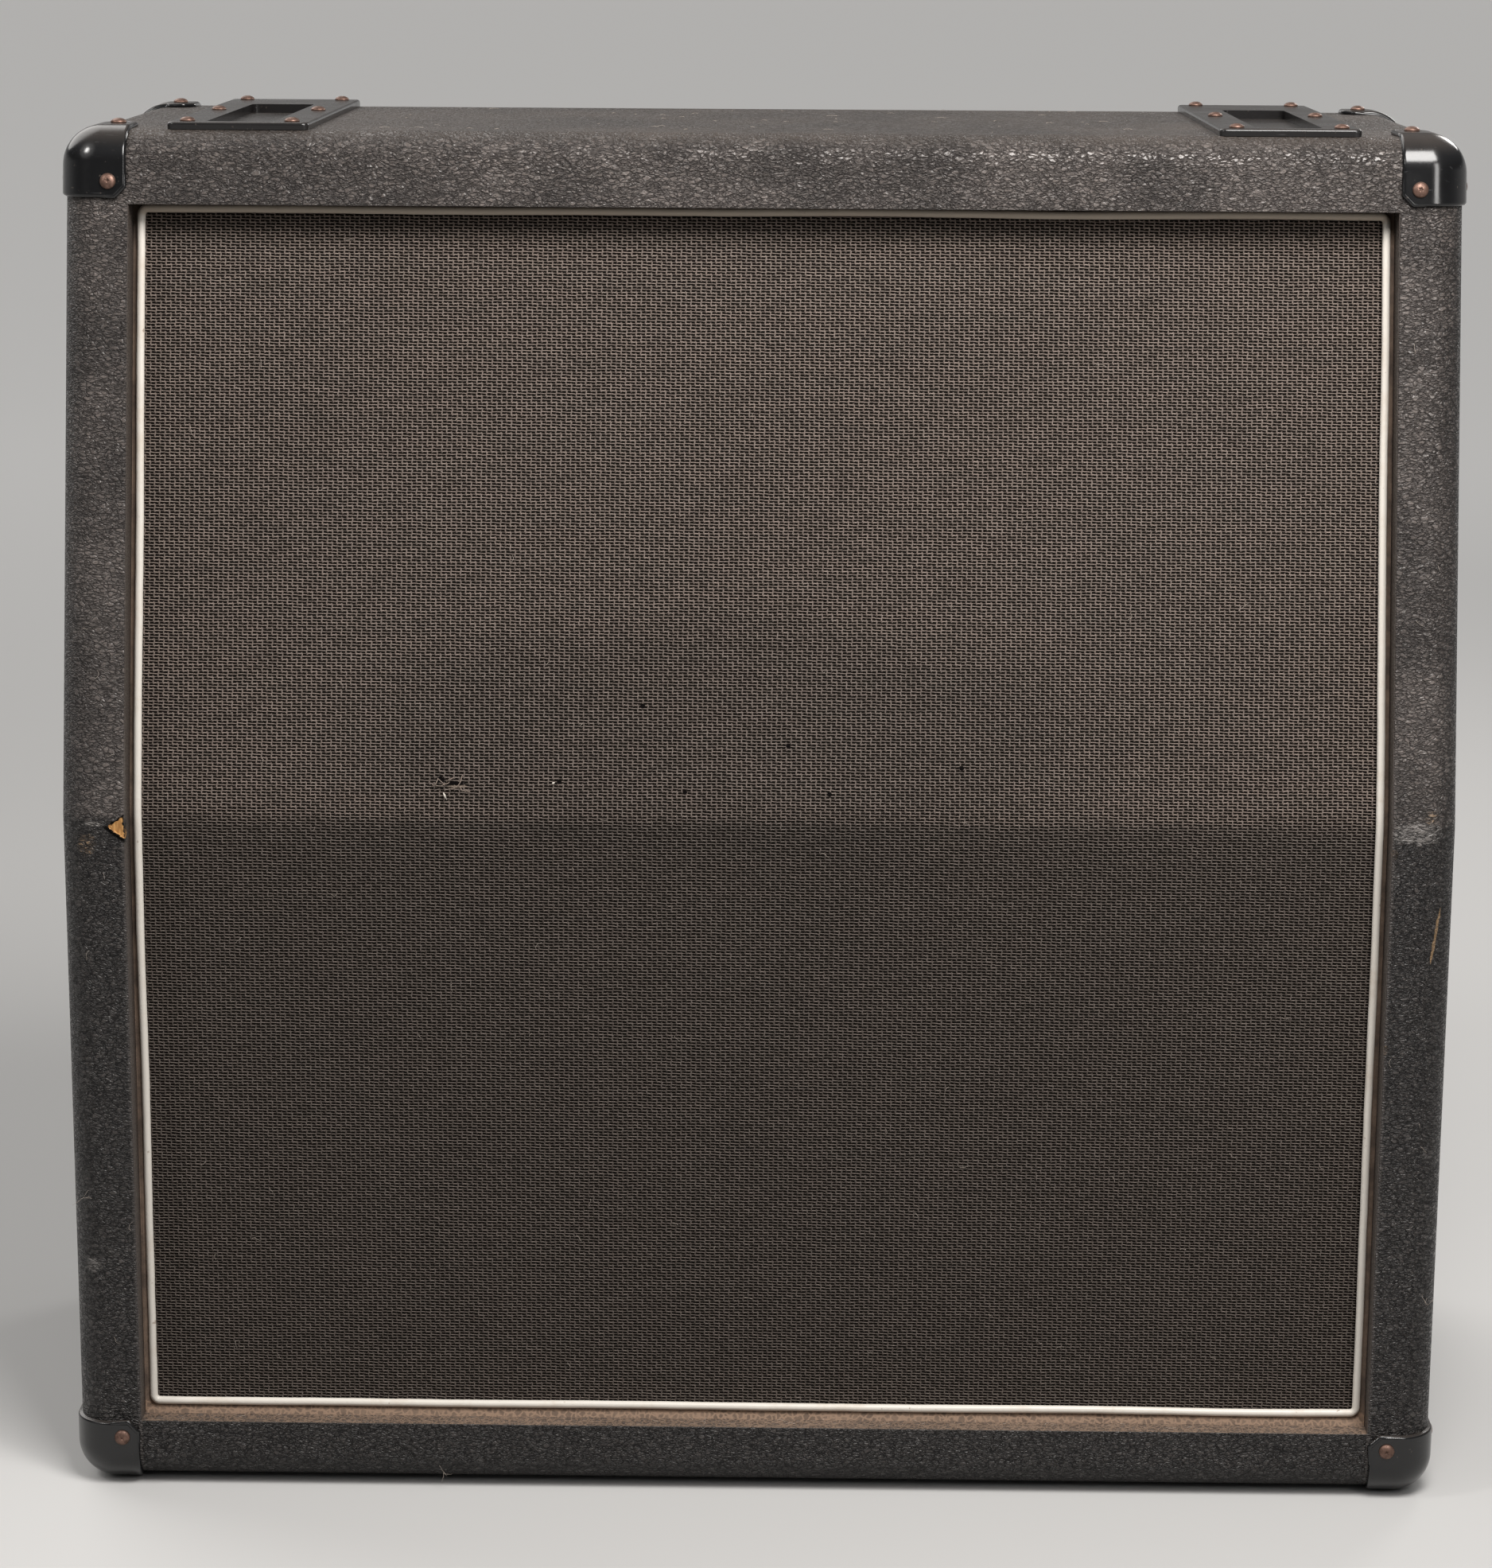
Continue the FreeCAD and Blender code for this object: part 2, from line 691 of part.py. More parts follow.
def switch_slot(below, above):
    """The room that the knob slides in, through the plate and into the switch."""
    half_x = (switch_knob_width + switch_travel) / 2 + switch_clearance
    half_y = switch_knob_tall / 2 + switch_clearance
    return box(-half_x, half_x, -half_y, half_y, -below, above)


def switch_body():
    body = box(-switch_width / 2, switch_width / 2, -switch_tall / 2, switch_tall / 2, -switch_deep, 0)
    return body.cut(switch_slot(switch_pocket + switch_clearance, far))


def switch_knob():
    """The slider, at the end of its travel on its own -X side."""
    x = -switch_travel / 2
    half_x, half_y = switch_knob_width / 2, switch_knob_tall / 2
    top = jack_plate_thickness + switch_knob_proud
    return box(x - half_x, x + half_x, -half_y, half_y, -switch_pocket, top)


def plate_screw_places():
    return [
        (V(sx * jack_screw_spacing_x / 2, back_face_y + jack_plate_thickness,
           jack_plate_height + sz * jack_screw_spacing_z / 2), backward)
        for sx in (-1, 1) for sz in (-1, 1)
    ]


# Speakers, as large as the room that the cleats and the batten leave on each board.
rear_bend_z = bend_point(baffle_rear)[1]
lower_room = (strip_low + cleat_size, rear_bend_z - batten_below)
upper_room = (batten_above / math.cos(tilt), (strip_high - cleat_size - rear_bend_z) / math.cos(tilt))
speaker_spread = between_cleats / 2
lower_speaker_height = sum(lower_room) / 2
upper_speaker_rise = sum(upper_room) / 2            # from the bend, along the upper baffle
narrowest = min(between_cleats, lower_room[1] - lower_room[0], upper_room[1] - upper_room[0])
speaker_radius = narrowest / 2 - speaker_gap
cutout_radius = speaker_radius - flange_width
speaker_bolt_circle = speaker_radius - speaker_bolt_inset
ledge_inner = cutout_radius - ledge_width
cone_outer = ledge_inner - cone_ledge_gap
coil_outer = coil_radius + coil_wall
cone_slope = (cone_neck_depth - ledge_depth) / (cone_outer - coil_outer)
plate_front = -cup_depth - frame_wall
ferrite_front = plate_front - plate_thickness
yoke_front = ferrite_front - ferrite_thickness


def cone_face(r):
    """Height of the cone's front face at a radius."""
    return -ledge_depth - (cone_outer - r) * cone_slope


def speaker_frame(terminal_side):
    """Pressed frame with windows, and the terminal block on one side of its cup."""
    w = frame_wall
    frame = turned([
        (speaker_radius, 0), (cutout_radius, 0), (cutout_radius, -ledge_depth), (ledge_inner, -ledge_depth),
        (shelf_radius, -shelf_depth), (cup_radius, -shelf_depth), (cup_radius, -cup_depth),
        (frame_hole, -cup_depth), (frame_hole, -cup_depth - w), (cup_radius + w, -cup_depth - w),
        (cup_radius + w, -shelf_depth - w), (shelf_radius + w, -shelf_depth - w),
        (ledge_inner + w, -ledge_depth - w), (cutout_radius + w, -ledge_depth - w),
        (cutout_radius + w, -w), (speaker_radius, -w),
    ])
    inner, outer = shelf_radius + window_margin, ledge_inner - window_margin
    section = Part.Face(Part.makePolygon([V(r, 0, z) for r, z in (
        (inner, -far), (outer, -far), (outer, 0), (inner, 0), (inner, -far))]))
    window = section.revolve(V(0, 0, 0), upward, window_angle)
    turn = 360.0 / window_count
    windows = [moved(window, V(0, 0, 0), FreeCAD.Rotation(upward, i * turn)) for i in range(window_count)]
    x0, x1 = sorted(terminal_side * r for r in (cup_radius + w / 2, cup_radius + w + terminal_rise))
    terminal = box(x0, x1, -terminal_width / 2, terminal_width / 2,
                   -terminal_depth - terminal_length / 2, -terminal_depth + terminal_length / 2)
    return frame.cut(windows).fuse(terminal)


def speaker_magnet():
    """Front plate, ferrite ring, and the back plate with its pole."""
    front_plate = ring(coil_outer + coil_gap, plate_radius, ferrite_front, plate_front)
    ferrite = ring(ferrite_bore, ferrite_radius, yoke_front, ferrite_front)
    pole = coil_radius - coil_gap
    rear = yoke_front - plate_thickness
    yoke = turned([(0, rear), (plate_radius, rear), (plate_radius, yoke_front), (pole, yoke_front),
                   (pole, plate_front), (0, plate_front)])
    return Part.makeCompound([front_plate, ferrite, yoke])


def speaker_cone():
    """Paper cone, dust cap, and the voice coil on its former."""
    neck = coil_outer + glue_gap
    cone = turned([(neck, cone_face(neck)), (cone_outer, cone_face(cone_outer)),
                   (cone_outer, cone_face(cone_outer) - cone_paper), (neck, cone_face(neck) - cone_paper)])
    foot = cone_face(dust_cap_radius) + glue_gap
    dome = [(dust_cap_radius * math.cos(i * math.pi / 2 / dust_cap_steps),
             foot + dust_cap_rise * math.sin(i * math.pi / 2 / dust_cap_steps))
            for i in range(dust_cap_steps)] + [(0.0, foot + dust_cap_rise)]
    cap = turned(dome + [(r, z + cone_paper) for r, z in reversed(dome)])
    coil = ring(coil_radius, coil_outer, -cone_neck_depth - coil_length, -cone_neck_depth)
    return Part.makeCompound([cone, cap, coil])


def waved_ring(inner, outer, flat, z, height, waves):
    """A thin ring with a flat band at each edge and waves between."""
    steps = waves * wave_steps
    crest = [(inner, z)]
    for i in range(steps + 1):
        r = inner + flat + (outer - inner - 2 * flat) * i / steps
        crest.append((r, z + height * (1 - math.cos(2 * math.pi * waves * i / steps)) / 2))
    crest.append((outer, z))
    return turned(crest + [(r, level + suspension_wall) for r, level in reversed(crest)])


def speaker_suspension():
    """The surround on the frame's ledge and the spider on its shelf."""
    surround = waved_ring(cone_outer + suspension_gap, cutout_radius - suspension_gap, surround_flat,
                          -ledge_depth, surround_roll, 1)
    spider = waved_ring(coil_outer + suspension_gap, shelf_radius - frame_wall, spider_flat,
                        -shelf_depth, spider_wave, spider_waves)
    return Part.makeCompound([surround, spider])


class Speaker:
    """Where one speaker sits: the middle of its flange's front, and the way it faces."""

    def __init__(self, side, upper):
        y = front_y + baffle_rear
        low = V(side * speaker_spread, y, lower_speaker_height)
        high = V(side * speaker_spread, y, rear_bend_z) + up_slope * upper_speaker_rise
        self.side = side
        self.upper = upper
        self.point = high if upper else low
        self.forward = leaning if upper else forward
        self.turn = FreeCAD.Rotation(V(1, 0, 0), 90.0 - math.degrees(tilt) if upper else 90.0)

    def put(self, shape):
        return moved(shape, self.point, self.turn)

    def at(self, x, y, z):
        return self.point + self.turn.multVec(V(x, y, z))

    def bolt_places(self):
        step = 2 * math.pi / speaker_bolts_each
        angles = [(i + 0.5) * step for i in range(speaker_bolts_each)]
        return [(self.at(speaker_bolt_circle * math.cos(a), speaker_bolt_circle * math.sin(a), -frame_wall),
                 self.forward * -1) for a in angles]

    def wire(self):
        """From the jack on its own side to the terminal block."""
        end = self.at(-self.side * (cup_radius + frame_wall + terminal_rise), 0, -terminal_depth)
        spread = wire_spread if self.upper else -wire_spread
        start = V(self.side * jack_spacing / 2, back_face_y - jack_body_length, jack_plate_height + spread)
        runs = [start, start + forward * wire_straight, V(self.side * wire_aside, end.y, end.z), end]
        radii = easy_radii(runs)
        print("wire arcs", [round(r) for r in radii], "mm")
        return rounded_cord(runs, radii, wire_diameter)


speakers = {
    row + "_" + word: Speaker(side, row == "upper")
    for row in ("upper", "lower") for word, side in (("left", -1), ("right", 1))
}


# Cloth and piping.
def grille_cloth():
    return prism(bent_layer(cloth_recess, baffle_front, baffle_low, baffle_high), -baffle_half, baffle_half)


def piping():
    """Round cord along the cloth's edge, closed, bent with the front."""
    offset = cloth_recess - piping_seat - piping_diameter / 2
    half = baffle_half - piping_inset
    low, high = baffle_low + piping_inset, baffle_high - piping_inset
    heights = [(front_y + offset, low), bend_point(offset), (front_at(offset, high), high)]
    points = [V(half, y, z) for y, z in heights] + [V(-half, y, z) for y, z in reversed(heights)]
    radii = [piping_corner_radius, piping_bend_radius, piping_corner_radius]
    return rounded_cord(points, radii + radii, piping_diameter, closed=True)


# Vinyl over the box, turned in round both openings.
def vinyl_covering():
    low, high = opening_low, opening_high
    through = box(-opening_half, opening_half, -far, far, low, high)
    grow = vinyl_thickness
    front_depth = cloth_recess + lining_past_cloth
    front_room = prism(bent_layer(-far / 8, front_depth, low - grow, high + grow), -strip_half, strip_half)
    rear_room = box(-strip_half, strip_half, board_front_y, far, low - grow, high + grow)
    backing = outer_form(vinyl_thickness).cut([front_room, rear_room])
    return outer_form(0.0).cut(through).cut(backing)


corner_screws = Screws(corner_screw, corner_screw_places())
dish_screws = Screws(dish_screw, dish_screw_places())
handle_screws = Screws(handle_screw, handle_screw_places())
back_screws = Screws(back_screw, back_screw_places())
plate_screws = Screws(plate_screw, plate_screw_places())
socket_screws = Screws(socket_screw, socket_screw_places())
speaker_bolts = Screws(speaker_bolt, [place for s in speakers.values() for place in s.bolt_places()])

side_holes = [on_side(handle_hole(), sx) for sx in (-1, 1)]
dish_holes = [dish_well(sx, dish_well_gap) for sx in (-1, 1)]
socket_holes = [moved(socket_hole(), p - V(0, 0, far / 2)) for p in socket_points]
rear_hole = moved(jack_cut(), V(0, back_face_y, jack_plate_height))

parts = {}
covering = vinyl_covering().cut(side_holes + dish_holes + socket_holes)
parts["vinyl_covering"] = drilled(covering, corner_screws, dish_screws, handle_screws, socket_screws)

panels = wooden_panels(outer_form(vinyl_thickness))
panels["top_panel"] = drilled(panels["top_panel"].cut(dish_holes), dish_screws, corner_screws)
panels["bottom_panel"] = drilled(panels["bottom_panel"].cut(socket_holes), socket_screws)
for name, hole in zip(("left_side_panel", "right_side_panel"), side_holes):
    panels[name] = drilled(panels[name].cut(hole), handle_screws, corner_screws)
parts.update(panels)

front_cleats, rear_cleats = cleats()
parts["border_strips"] = Part.makeCompound([drilled(s, corner_screws) for s in lip_strips()])
parts["baffle_cleats"] = Part.makeCompound(front_cleats)
parts["rear_cleats"] = Part.makeCompound([drilled(s, back_screws) for s in rear_cleats])
parts["bend_batten"] = bend_batten()
parts["centre_brace"] = drilled(centre_brace(), back_screws)
cutter = Part.makeCylinder(cutout_radius, 2 * baffle_thickness)
cutouts = {name: speaker.put(cutter) for name, speaker in speakers.items()}
for row, outline in (("lower", lower_layer(baffle_front, baffle_rear, baffle_low)),
                     ("upper", upper_layer(baffle_front, baffle_rear, baffle_high))):
    board = prism(outline, -baffle_half, baffle_half).cut([cutouts[row + "_left"], cutouts[row + "_right"]])
    parts[row + "_baffle"] = drilled(board, speaker_bolts)
parts["rear_panel"] = drilled(rear_panel_layer(board_front_y, board_rear_y).cut(rear_hole),
                              back_screws, plate_screws)
parts["rear_panel_vinyl"] = drilled(rear_panel_layer(board_rear_y, back_face_y).cut(rear_hole),
                                    back_screws, plate_screws)

parts["grille_cloth"] = grille_cloth()
parts["white_piping"] = piping()

over, under = outer_form(-corner_thickness), outer_form(0.0)
for name, signs in corner_signs.items():
    parts["corner_" + name] = drilled(corner_protector(over, under, *signs), corner_screws)
for word, sx in (("left", -1), ("right", 1)):
    parts["castor_dish_" + word] = drilled(castor_dish(sx), dish_screws)
    parts["handle_cup_" + word] = drilled(on_side(handle_cup(), sx), handle_screws)
    parts["handle_grip_" + word] = on_side(handle_grip(), sx)
    parts["jack_socket_" + word] = on_rear(jack_socket(), sx * jack_spacing / 2)
parts["jack_plate"] = drilled(on_rear(jack_plate()), plate_screws)
parts["switch_body"] = on_rear(switch_body())
parts["switch_slider"] = on_rear(switch_knob())
parts["castor_sockets"] = Part.makeCompound([drilled(moved(castor_socket(), p), socket_screws)
                                             for p in socket_points])

magnet, cone, suspension = speaker_magnet(), speaker_cone(), speaker_suspension()
for name, speaker in speakers.items():
    parts["speaker_frame_" + name] = drilled(speaker.put(speaker_frame(-speaker.side)), speaker_bolts)
    parts["speaker_magnet_" + name] = speaker.put(magnet)
    parts["speaker_cone_" + name] = speaker.put(cone)
    parts["speaker_suspension_" + name] = speaker.put(suspension)
parts["speaker_wiring"] = Part.makeCompound([speaker.wire() for speaker in speakers.values()])

parts["corner_screws"] = corner_screws.group()
parts["dish_screws"] = dish_screws.group()
parts["handle_screws"] = handle_screws.group()
parts["rear_panel_screws"] = back_screws.group()
parts["jack_plate_screws"] = plate_screws.group()
parts["socket_screws"] = socket_screws.group()
parts["speaker_bolts"] = speaker_bolts.group()

os.makedirs("parts", exist_ok=True)
for name, shape in parts.items():
    shape.exportStep(os.path.join("parts", name + ".step"))
    print(name, len(shape.Solids), round(shape.Volume / 1000, 1), "cm3", shape.isValid())
print(len(parts), "parts")
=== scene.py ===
import json
import math

import bmesh
import bpy
import numpy as np
from mathutils import Matrix, Vector, noise


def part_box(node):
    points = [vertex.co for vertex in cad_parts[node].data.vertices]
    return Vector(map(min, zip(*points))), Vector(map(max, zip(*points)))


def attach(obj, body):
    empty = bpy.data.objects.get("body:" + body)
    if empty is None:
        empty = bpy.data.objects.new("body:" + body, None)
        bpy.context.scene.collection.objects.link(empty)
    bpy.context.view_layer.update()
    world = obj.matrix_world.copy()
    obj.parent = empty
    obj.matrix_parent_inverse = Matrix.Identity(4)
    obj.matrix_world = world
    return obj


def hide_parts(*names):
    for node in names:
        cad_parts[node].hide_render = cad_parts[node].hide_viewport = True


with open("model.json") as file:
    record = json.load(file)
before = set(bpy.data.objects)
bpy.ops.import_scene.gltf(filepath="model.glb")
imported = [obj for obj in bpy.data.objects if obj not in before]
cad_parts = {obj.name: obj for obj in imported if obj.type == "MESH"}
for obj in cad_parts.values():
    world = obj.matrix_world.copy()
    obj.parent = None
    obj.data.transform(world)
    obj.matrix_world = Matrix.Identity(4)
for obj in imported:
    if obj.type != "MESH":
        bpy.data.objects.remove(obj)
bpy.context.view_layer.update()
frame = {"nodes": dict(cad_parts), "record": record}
nodes = frame["nodes"]
scene = bpy.context.scene
print("frame:", len(nodes), "nodes")


class Wire:  # a shader socket that can be used in sums
    def __init__(self, shade, socket):
        self.shade = shade
        self.socket = socket

    def __add__(self, other):
        return self.shade.maths("ADD", self, other)

    __radd__ = __add__

    def __sub__(self, other):
        return self.shade.maths("SUBTRACT", self, other)

    def __rsub__(self, other):
        return self.shade.maths("SUBTRACT", other, self)

    def __mul__(self, other):
        return self.shade.maths("MULTIPLY", self, other)

    __rmul__ = __mul__

    def __truediv__(self, other):
        return self.shade.maths("DIVIDE", self, other)

    def __rtruediv__(self, other):
        return self.shade.maths("DIVIDE", other, self)

    def __mod__(self, other):
        return self.shade.maths("FLOORED_MODULO", self, other)

    def __rmod__(self, other):
        return self.shade.maths("FLOORED_MODULO", other, self)

    def __abs__(self):
        return self.shade.maths("ABSOLUTE", self)


class Shade:  # a tree of shader nodes, written as sums of wires
    def __init__(self, tree):
        self.tree = tree

    def put(self, socket, value):
        if isinstance(value, Wire):
            self.tree.links.new(value.socket, socket)
        elif socket.type == "RGBA" and len(value) == 3:
            socket.default_value = (*value, 1.0)
        else:
            socket.default_value = value

    def node(self, kind, settings=None, sockets=None, outlet=0):
        made = self.tree.nodes.new("ShaderNode" + kind)
        for key, value in (settings or {}).items():
            setattr(made, key, value)
        for key, value in (sockets or {}).items():
            self.put(made.inputs[key], value)
        return Wire(self, made.outputs[outlet])

    def maths(self, operation, *values):
        return self.node("Math", {"operation": operation}, dict(enumerate(values)))

    def vectors(self, operation, *values, outlet=0):
        return self.node("VectorMath", {"operation": operation}, dict(enumerate(values)), outlet)

    def split(self, vector):
        made = self.node("SeparateXYZ", sockets={0: vector}).socket.node
        return [Wire(self, s) for s in made.outputs]

    def smooth(self, value, low, high):
        return self.node("MapRange", {"interpolation_type": "SMOOTHSTEP"}, {0: value, 1: low, 2: high})

    def blend(self, share, under, over):
        return self.node("Mix", {"data_type": "RGBA"}, {0: share, 6: under, 7: over}, 2)

    def most(self, *masks):
        top = masks[0]
        for mask in masks[1:]:
            top = self.maths("MAXIMUM", top, mask)
        return top

    def rays(self, *kinds):  # 1 for light paths of these kinds
        made = self.node("LightPath").socket.node
        return self.most(*[Wire(self, made.outputs[kind]) for kind in kinds])

    def grow(self, at, scale, turn=(0, 0, 0)):
        return self.node("Mapping", sockets={"Vector": at, "Scale": scale, "Rotation": turn})

    def cloud(self, at, scale, detail=2.0, rough=0.5, outlet=0):
        sockets = {"Vector": at, "Scale": scale, "Detail": detail, "Roughness": rough}
        return self.node("TexNoise", sockets=sockets, outlet=outlet)

    def cells(self, at):  # the way to the nearest cell wall
        return self.node("TexVoronoi", {"feature": "DISTANCE_TO_EDGE"}, {"Vector": at, "Scale": 1.0})

    def stir(self, at, scale, amount):  # the same coordinates, pushed about by noise
        return self.vectors("MULTIPLY_ADD", self.cloud(at, scale, outlet=1), (amount,) * 3, at)

    def spot(self, at, centre, size, ragged, grain):  # 1 inside a blob with a soft, ragged edge
        away = self.vectors("DIVIDE", self.vectors("SUBTRACT", at, centre), size)
        reach = self.vectors("LENGTH", away, outlet="Value")
        reach = reach + (self.cloud(at, grain) - 0.5) * ragged
        return 1 - self.smooth(reach, 0.65, 1.0)


class Look(Shade):  # one finish: a material and the nodes that feed its shader
    def __init__(self, name, **fixed):
        self.material = bpy.data.materials.new(name)
        self.material.use_nodes = True
        super().__init__(self.material.node_tree)
        self.shader = self.tree.nodes["Principled BSDF"]
        self.feed(fixed)
        self.at = self.node("TexCoord", outlet="Object")

    def feed(self, values):
        for socket, value in values.items():
            self.put(self.shader.inputs[socket.replace("_", " ")], value)

    def upward(self):  # how far the surface faces up
        return self.split(self.node("NewGeometry", outlet="Normal"))[2]

    def finish(self, height, depth, strength, **fed):
        self.feed(fed)
        bump = self.node("Bump", sockets={"Strength": strength, "Distance": depth, "Height": height})
        self.put(self.shader.inputs["Normal"], bump)
        return self.material


vinyl = {
    "hide": (0.019, 0.0160, 0.0147), "creaseShade": (0.006, 0.005, 0.005), "rubbedAndHighlight": (0.160, 0.140, 0.130),
    "filmAndSheen": (0.262, 0.223, 0.203), "dust": (0.170, 0.135, 0.112), "ledge": (0.300, 0.205, 0.145),
    "return": (0.060, 0.046, 0.038), "scuff": (0.27, 0.25, 0.235), "tan": (0.36, 0.23, 0.12),
    "timber": ((0.36, 0.17, 0.05), (0.62, 0.34, 0.12)), "flapShadowTone": (0.004, 0.0035, 0.003),
    "stirs": ((70, 0.0050), (330, 0.0019)), "pebble": (250, 250, 500), "pebbleTurn": (0.0, 0.25, 0.0),
    "wrinkleStir": (150, 0.004), "wrinkle": (190, 190, 520), "wrinkleTurn": (0.0, 0.35, 0.0), "levels": 3.2,
    "swell": (170, 170, 260), "fine": 2200, "streaks": (900, 900, 160), "relief": 0.00105,
    # the smooth cover inside the front opening lies between these limits of x, z and y
    "sideIn": (0.3460, 0.3466), "lowIn": (0.0392, 0.0400), "highIn": (0.7168, 0.7176), "backIn": (0.0, 0.01),
    # the rubbed edge of the opening, and the front face that carries the marks
    "edgeIn": (0.3452, 0.3460), "edgeOut": (0.3465, 0.3485), "edgeBack": (-0.176, -0.170),
    "faceBack": (-0.1775, -0.1735),
    "scuffs": [((-0.3637, -0.1814, 0.3861), (0.006, 0.006, 0.0018)),  # middle and half size
               ((0.3601, -0.1810, 0.3873), (0.016, 0.006, 0.007)),
               ((-0.372, -0.1814, 0.132), (0.007, 0.006, 0.005))],
    "tans": [((-0.3676, -0.1814, 0.3745), (0.006, 0.006, 0.007)),
             ((0.3473, -0.1814, 0.3754), (0.0025, 0.006, 0.003)),
             ((0.3673, -0.1802, 0.3959), (0.004, 0.006, 0.004)),
             ((0.3470, -0.1814, 0.2648), (0.0022, 0.006, 0.0030))],
    "cut": ((0.3694, 0.3131), (0.3743, 0.3458)), "cutWidth": (0.0002, 0.0009), "cutWander": 0.0016,
    "tear": ((-0.3468, 0.3902), (-0.3455, 0.3778), (-0.3552, 0.3846)),  # corners in x and z, on the front
    "flapShadow": (0.0008, 0.0026, 0.0008), "ragged": 0.0040,  # how far the painted shadow under the lifted cover reaches from each side of the tear
}


def cutMask(k, x, z):  # 1 in the long cut, which is widest near its middle
    (x0, z0), (x1, z1) = vinyl["cut"]
    thin, wide = vinyl["cutWidth"]
    long = math.hypot(x1 - x0, z1 - z0)
    dx, dz = (x1 - x0) / long, (z1 - z0) / long
    along = ((x - x0) * dx + (z - z0) * dz) / long
    across = abs((x - x0) * dz - (z - z0) * dx + (k.cloud(k.at, 260) - 0.5) * vinyl["cutWander"])
    width = wide * k.smooth(along, -0.05, 0.25) * (1 - k.smooth(along, 0.7, 1.05)) + thin
    cut = (1 - k.smooth(across / width, 0.6, 1.0)) * k.smooth(along, 0.0, 0.06)
    return cut * (1 - k.smooth(along, 0.94, 1.0))


def tearMasks(k, x, z, face):  # where the timber is bare, and the painted shadow under the lifted cover
    torn, flapShadow = face, face
    corners = vinyl["tear"]
    jag = (k.cloud(k.at, 520, 4.0, 0.75) - 0.5) * vinyl["ragged"]
    for i, (ax, az) in enumerate(corners):
        bx, bz = corners[(i + 1) % 3]
        far = math.hypot(bx - ax, bz - az)
        inner = (x - ax) * (-(bz - az) / far) + (z - az) * ((bx - ax) / far)
        torn = torn * k.smooth(0 - inner + jag, -0.0001, 0.0003)
        reach = vinyl["flapShadow"][i]
        flapShadow = flapShadow * (1 - k.smooth(inner + jag, reach * 0.6, reach))
    return torn, flapShadow


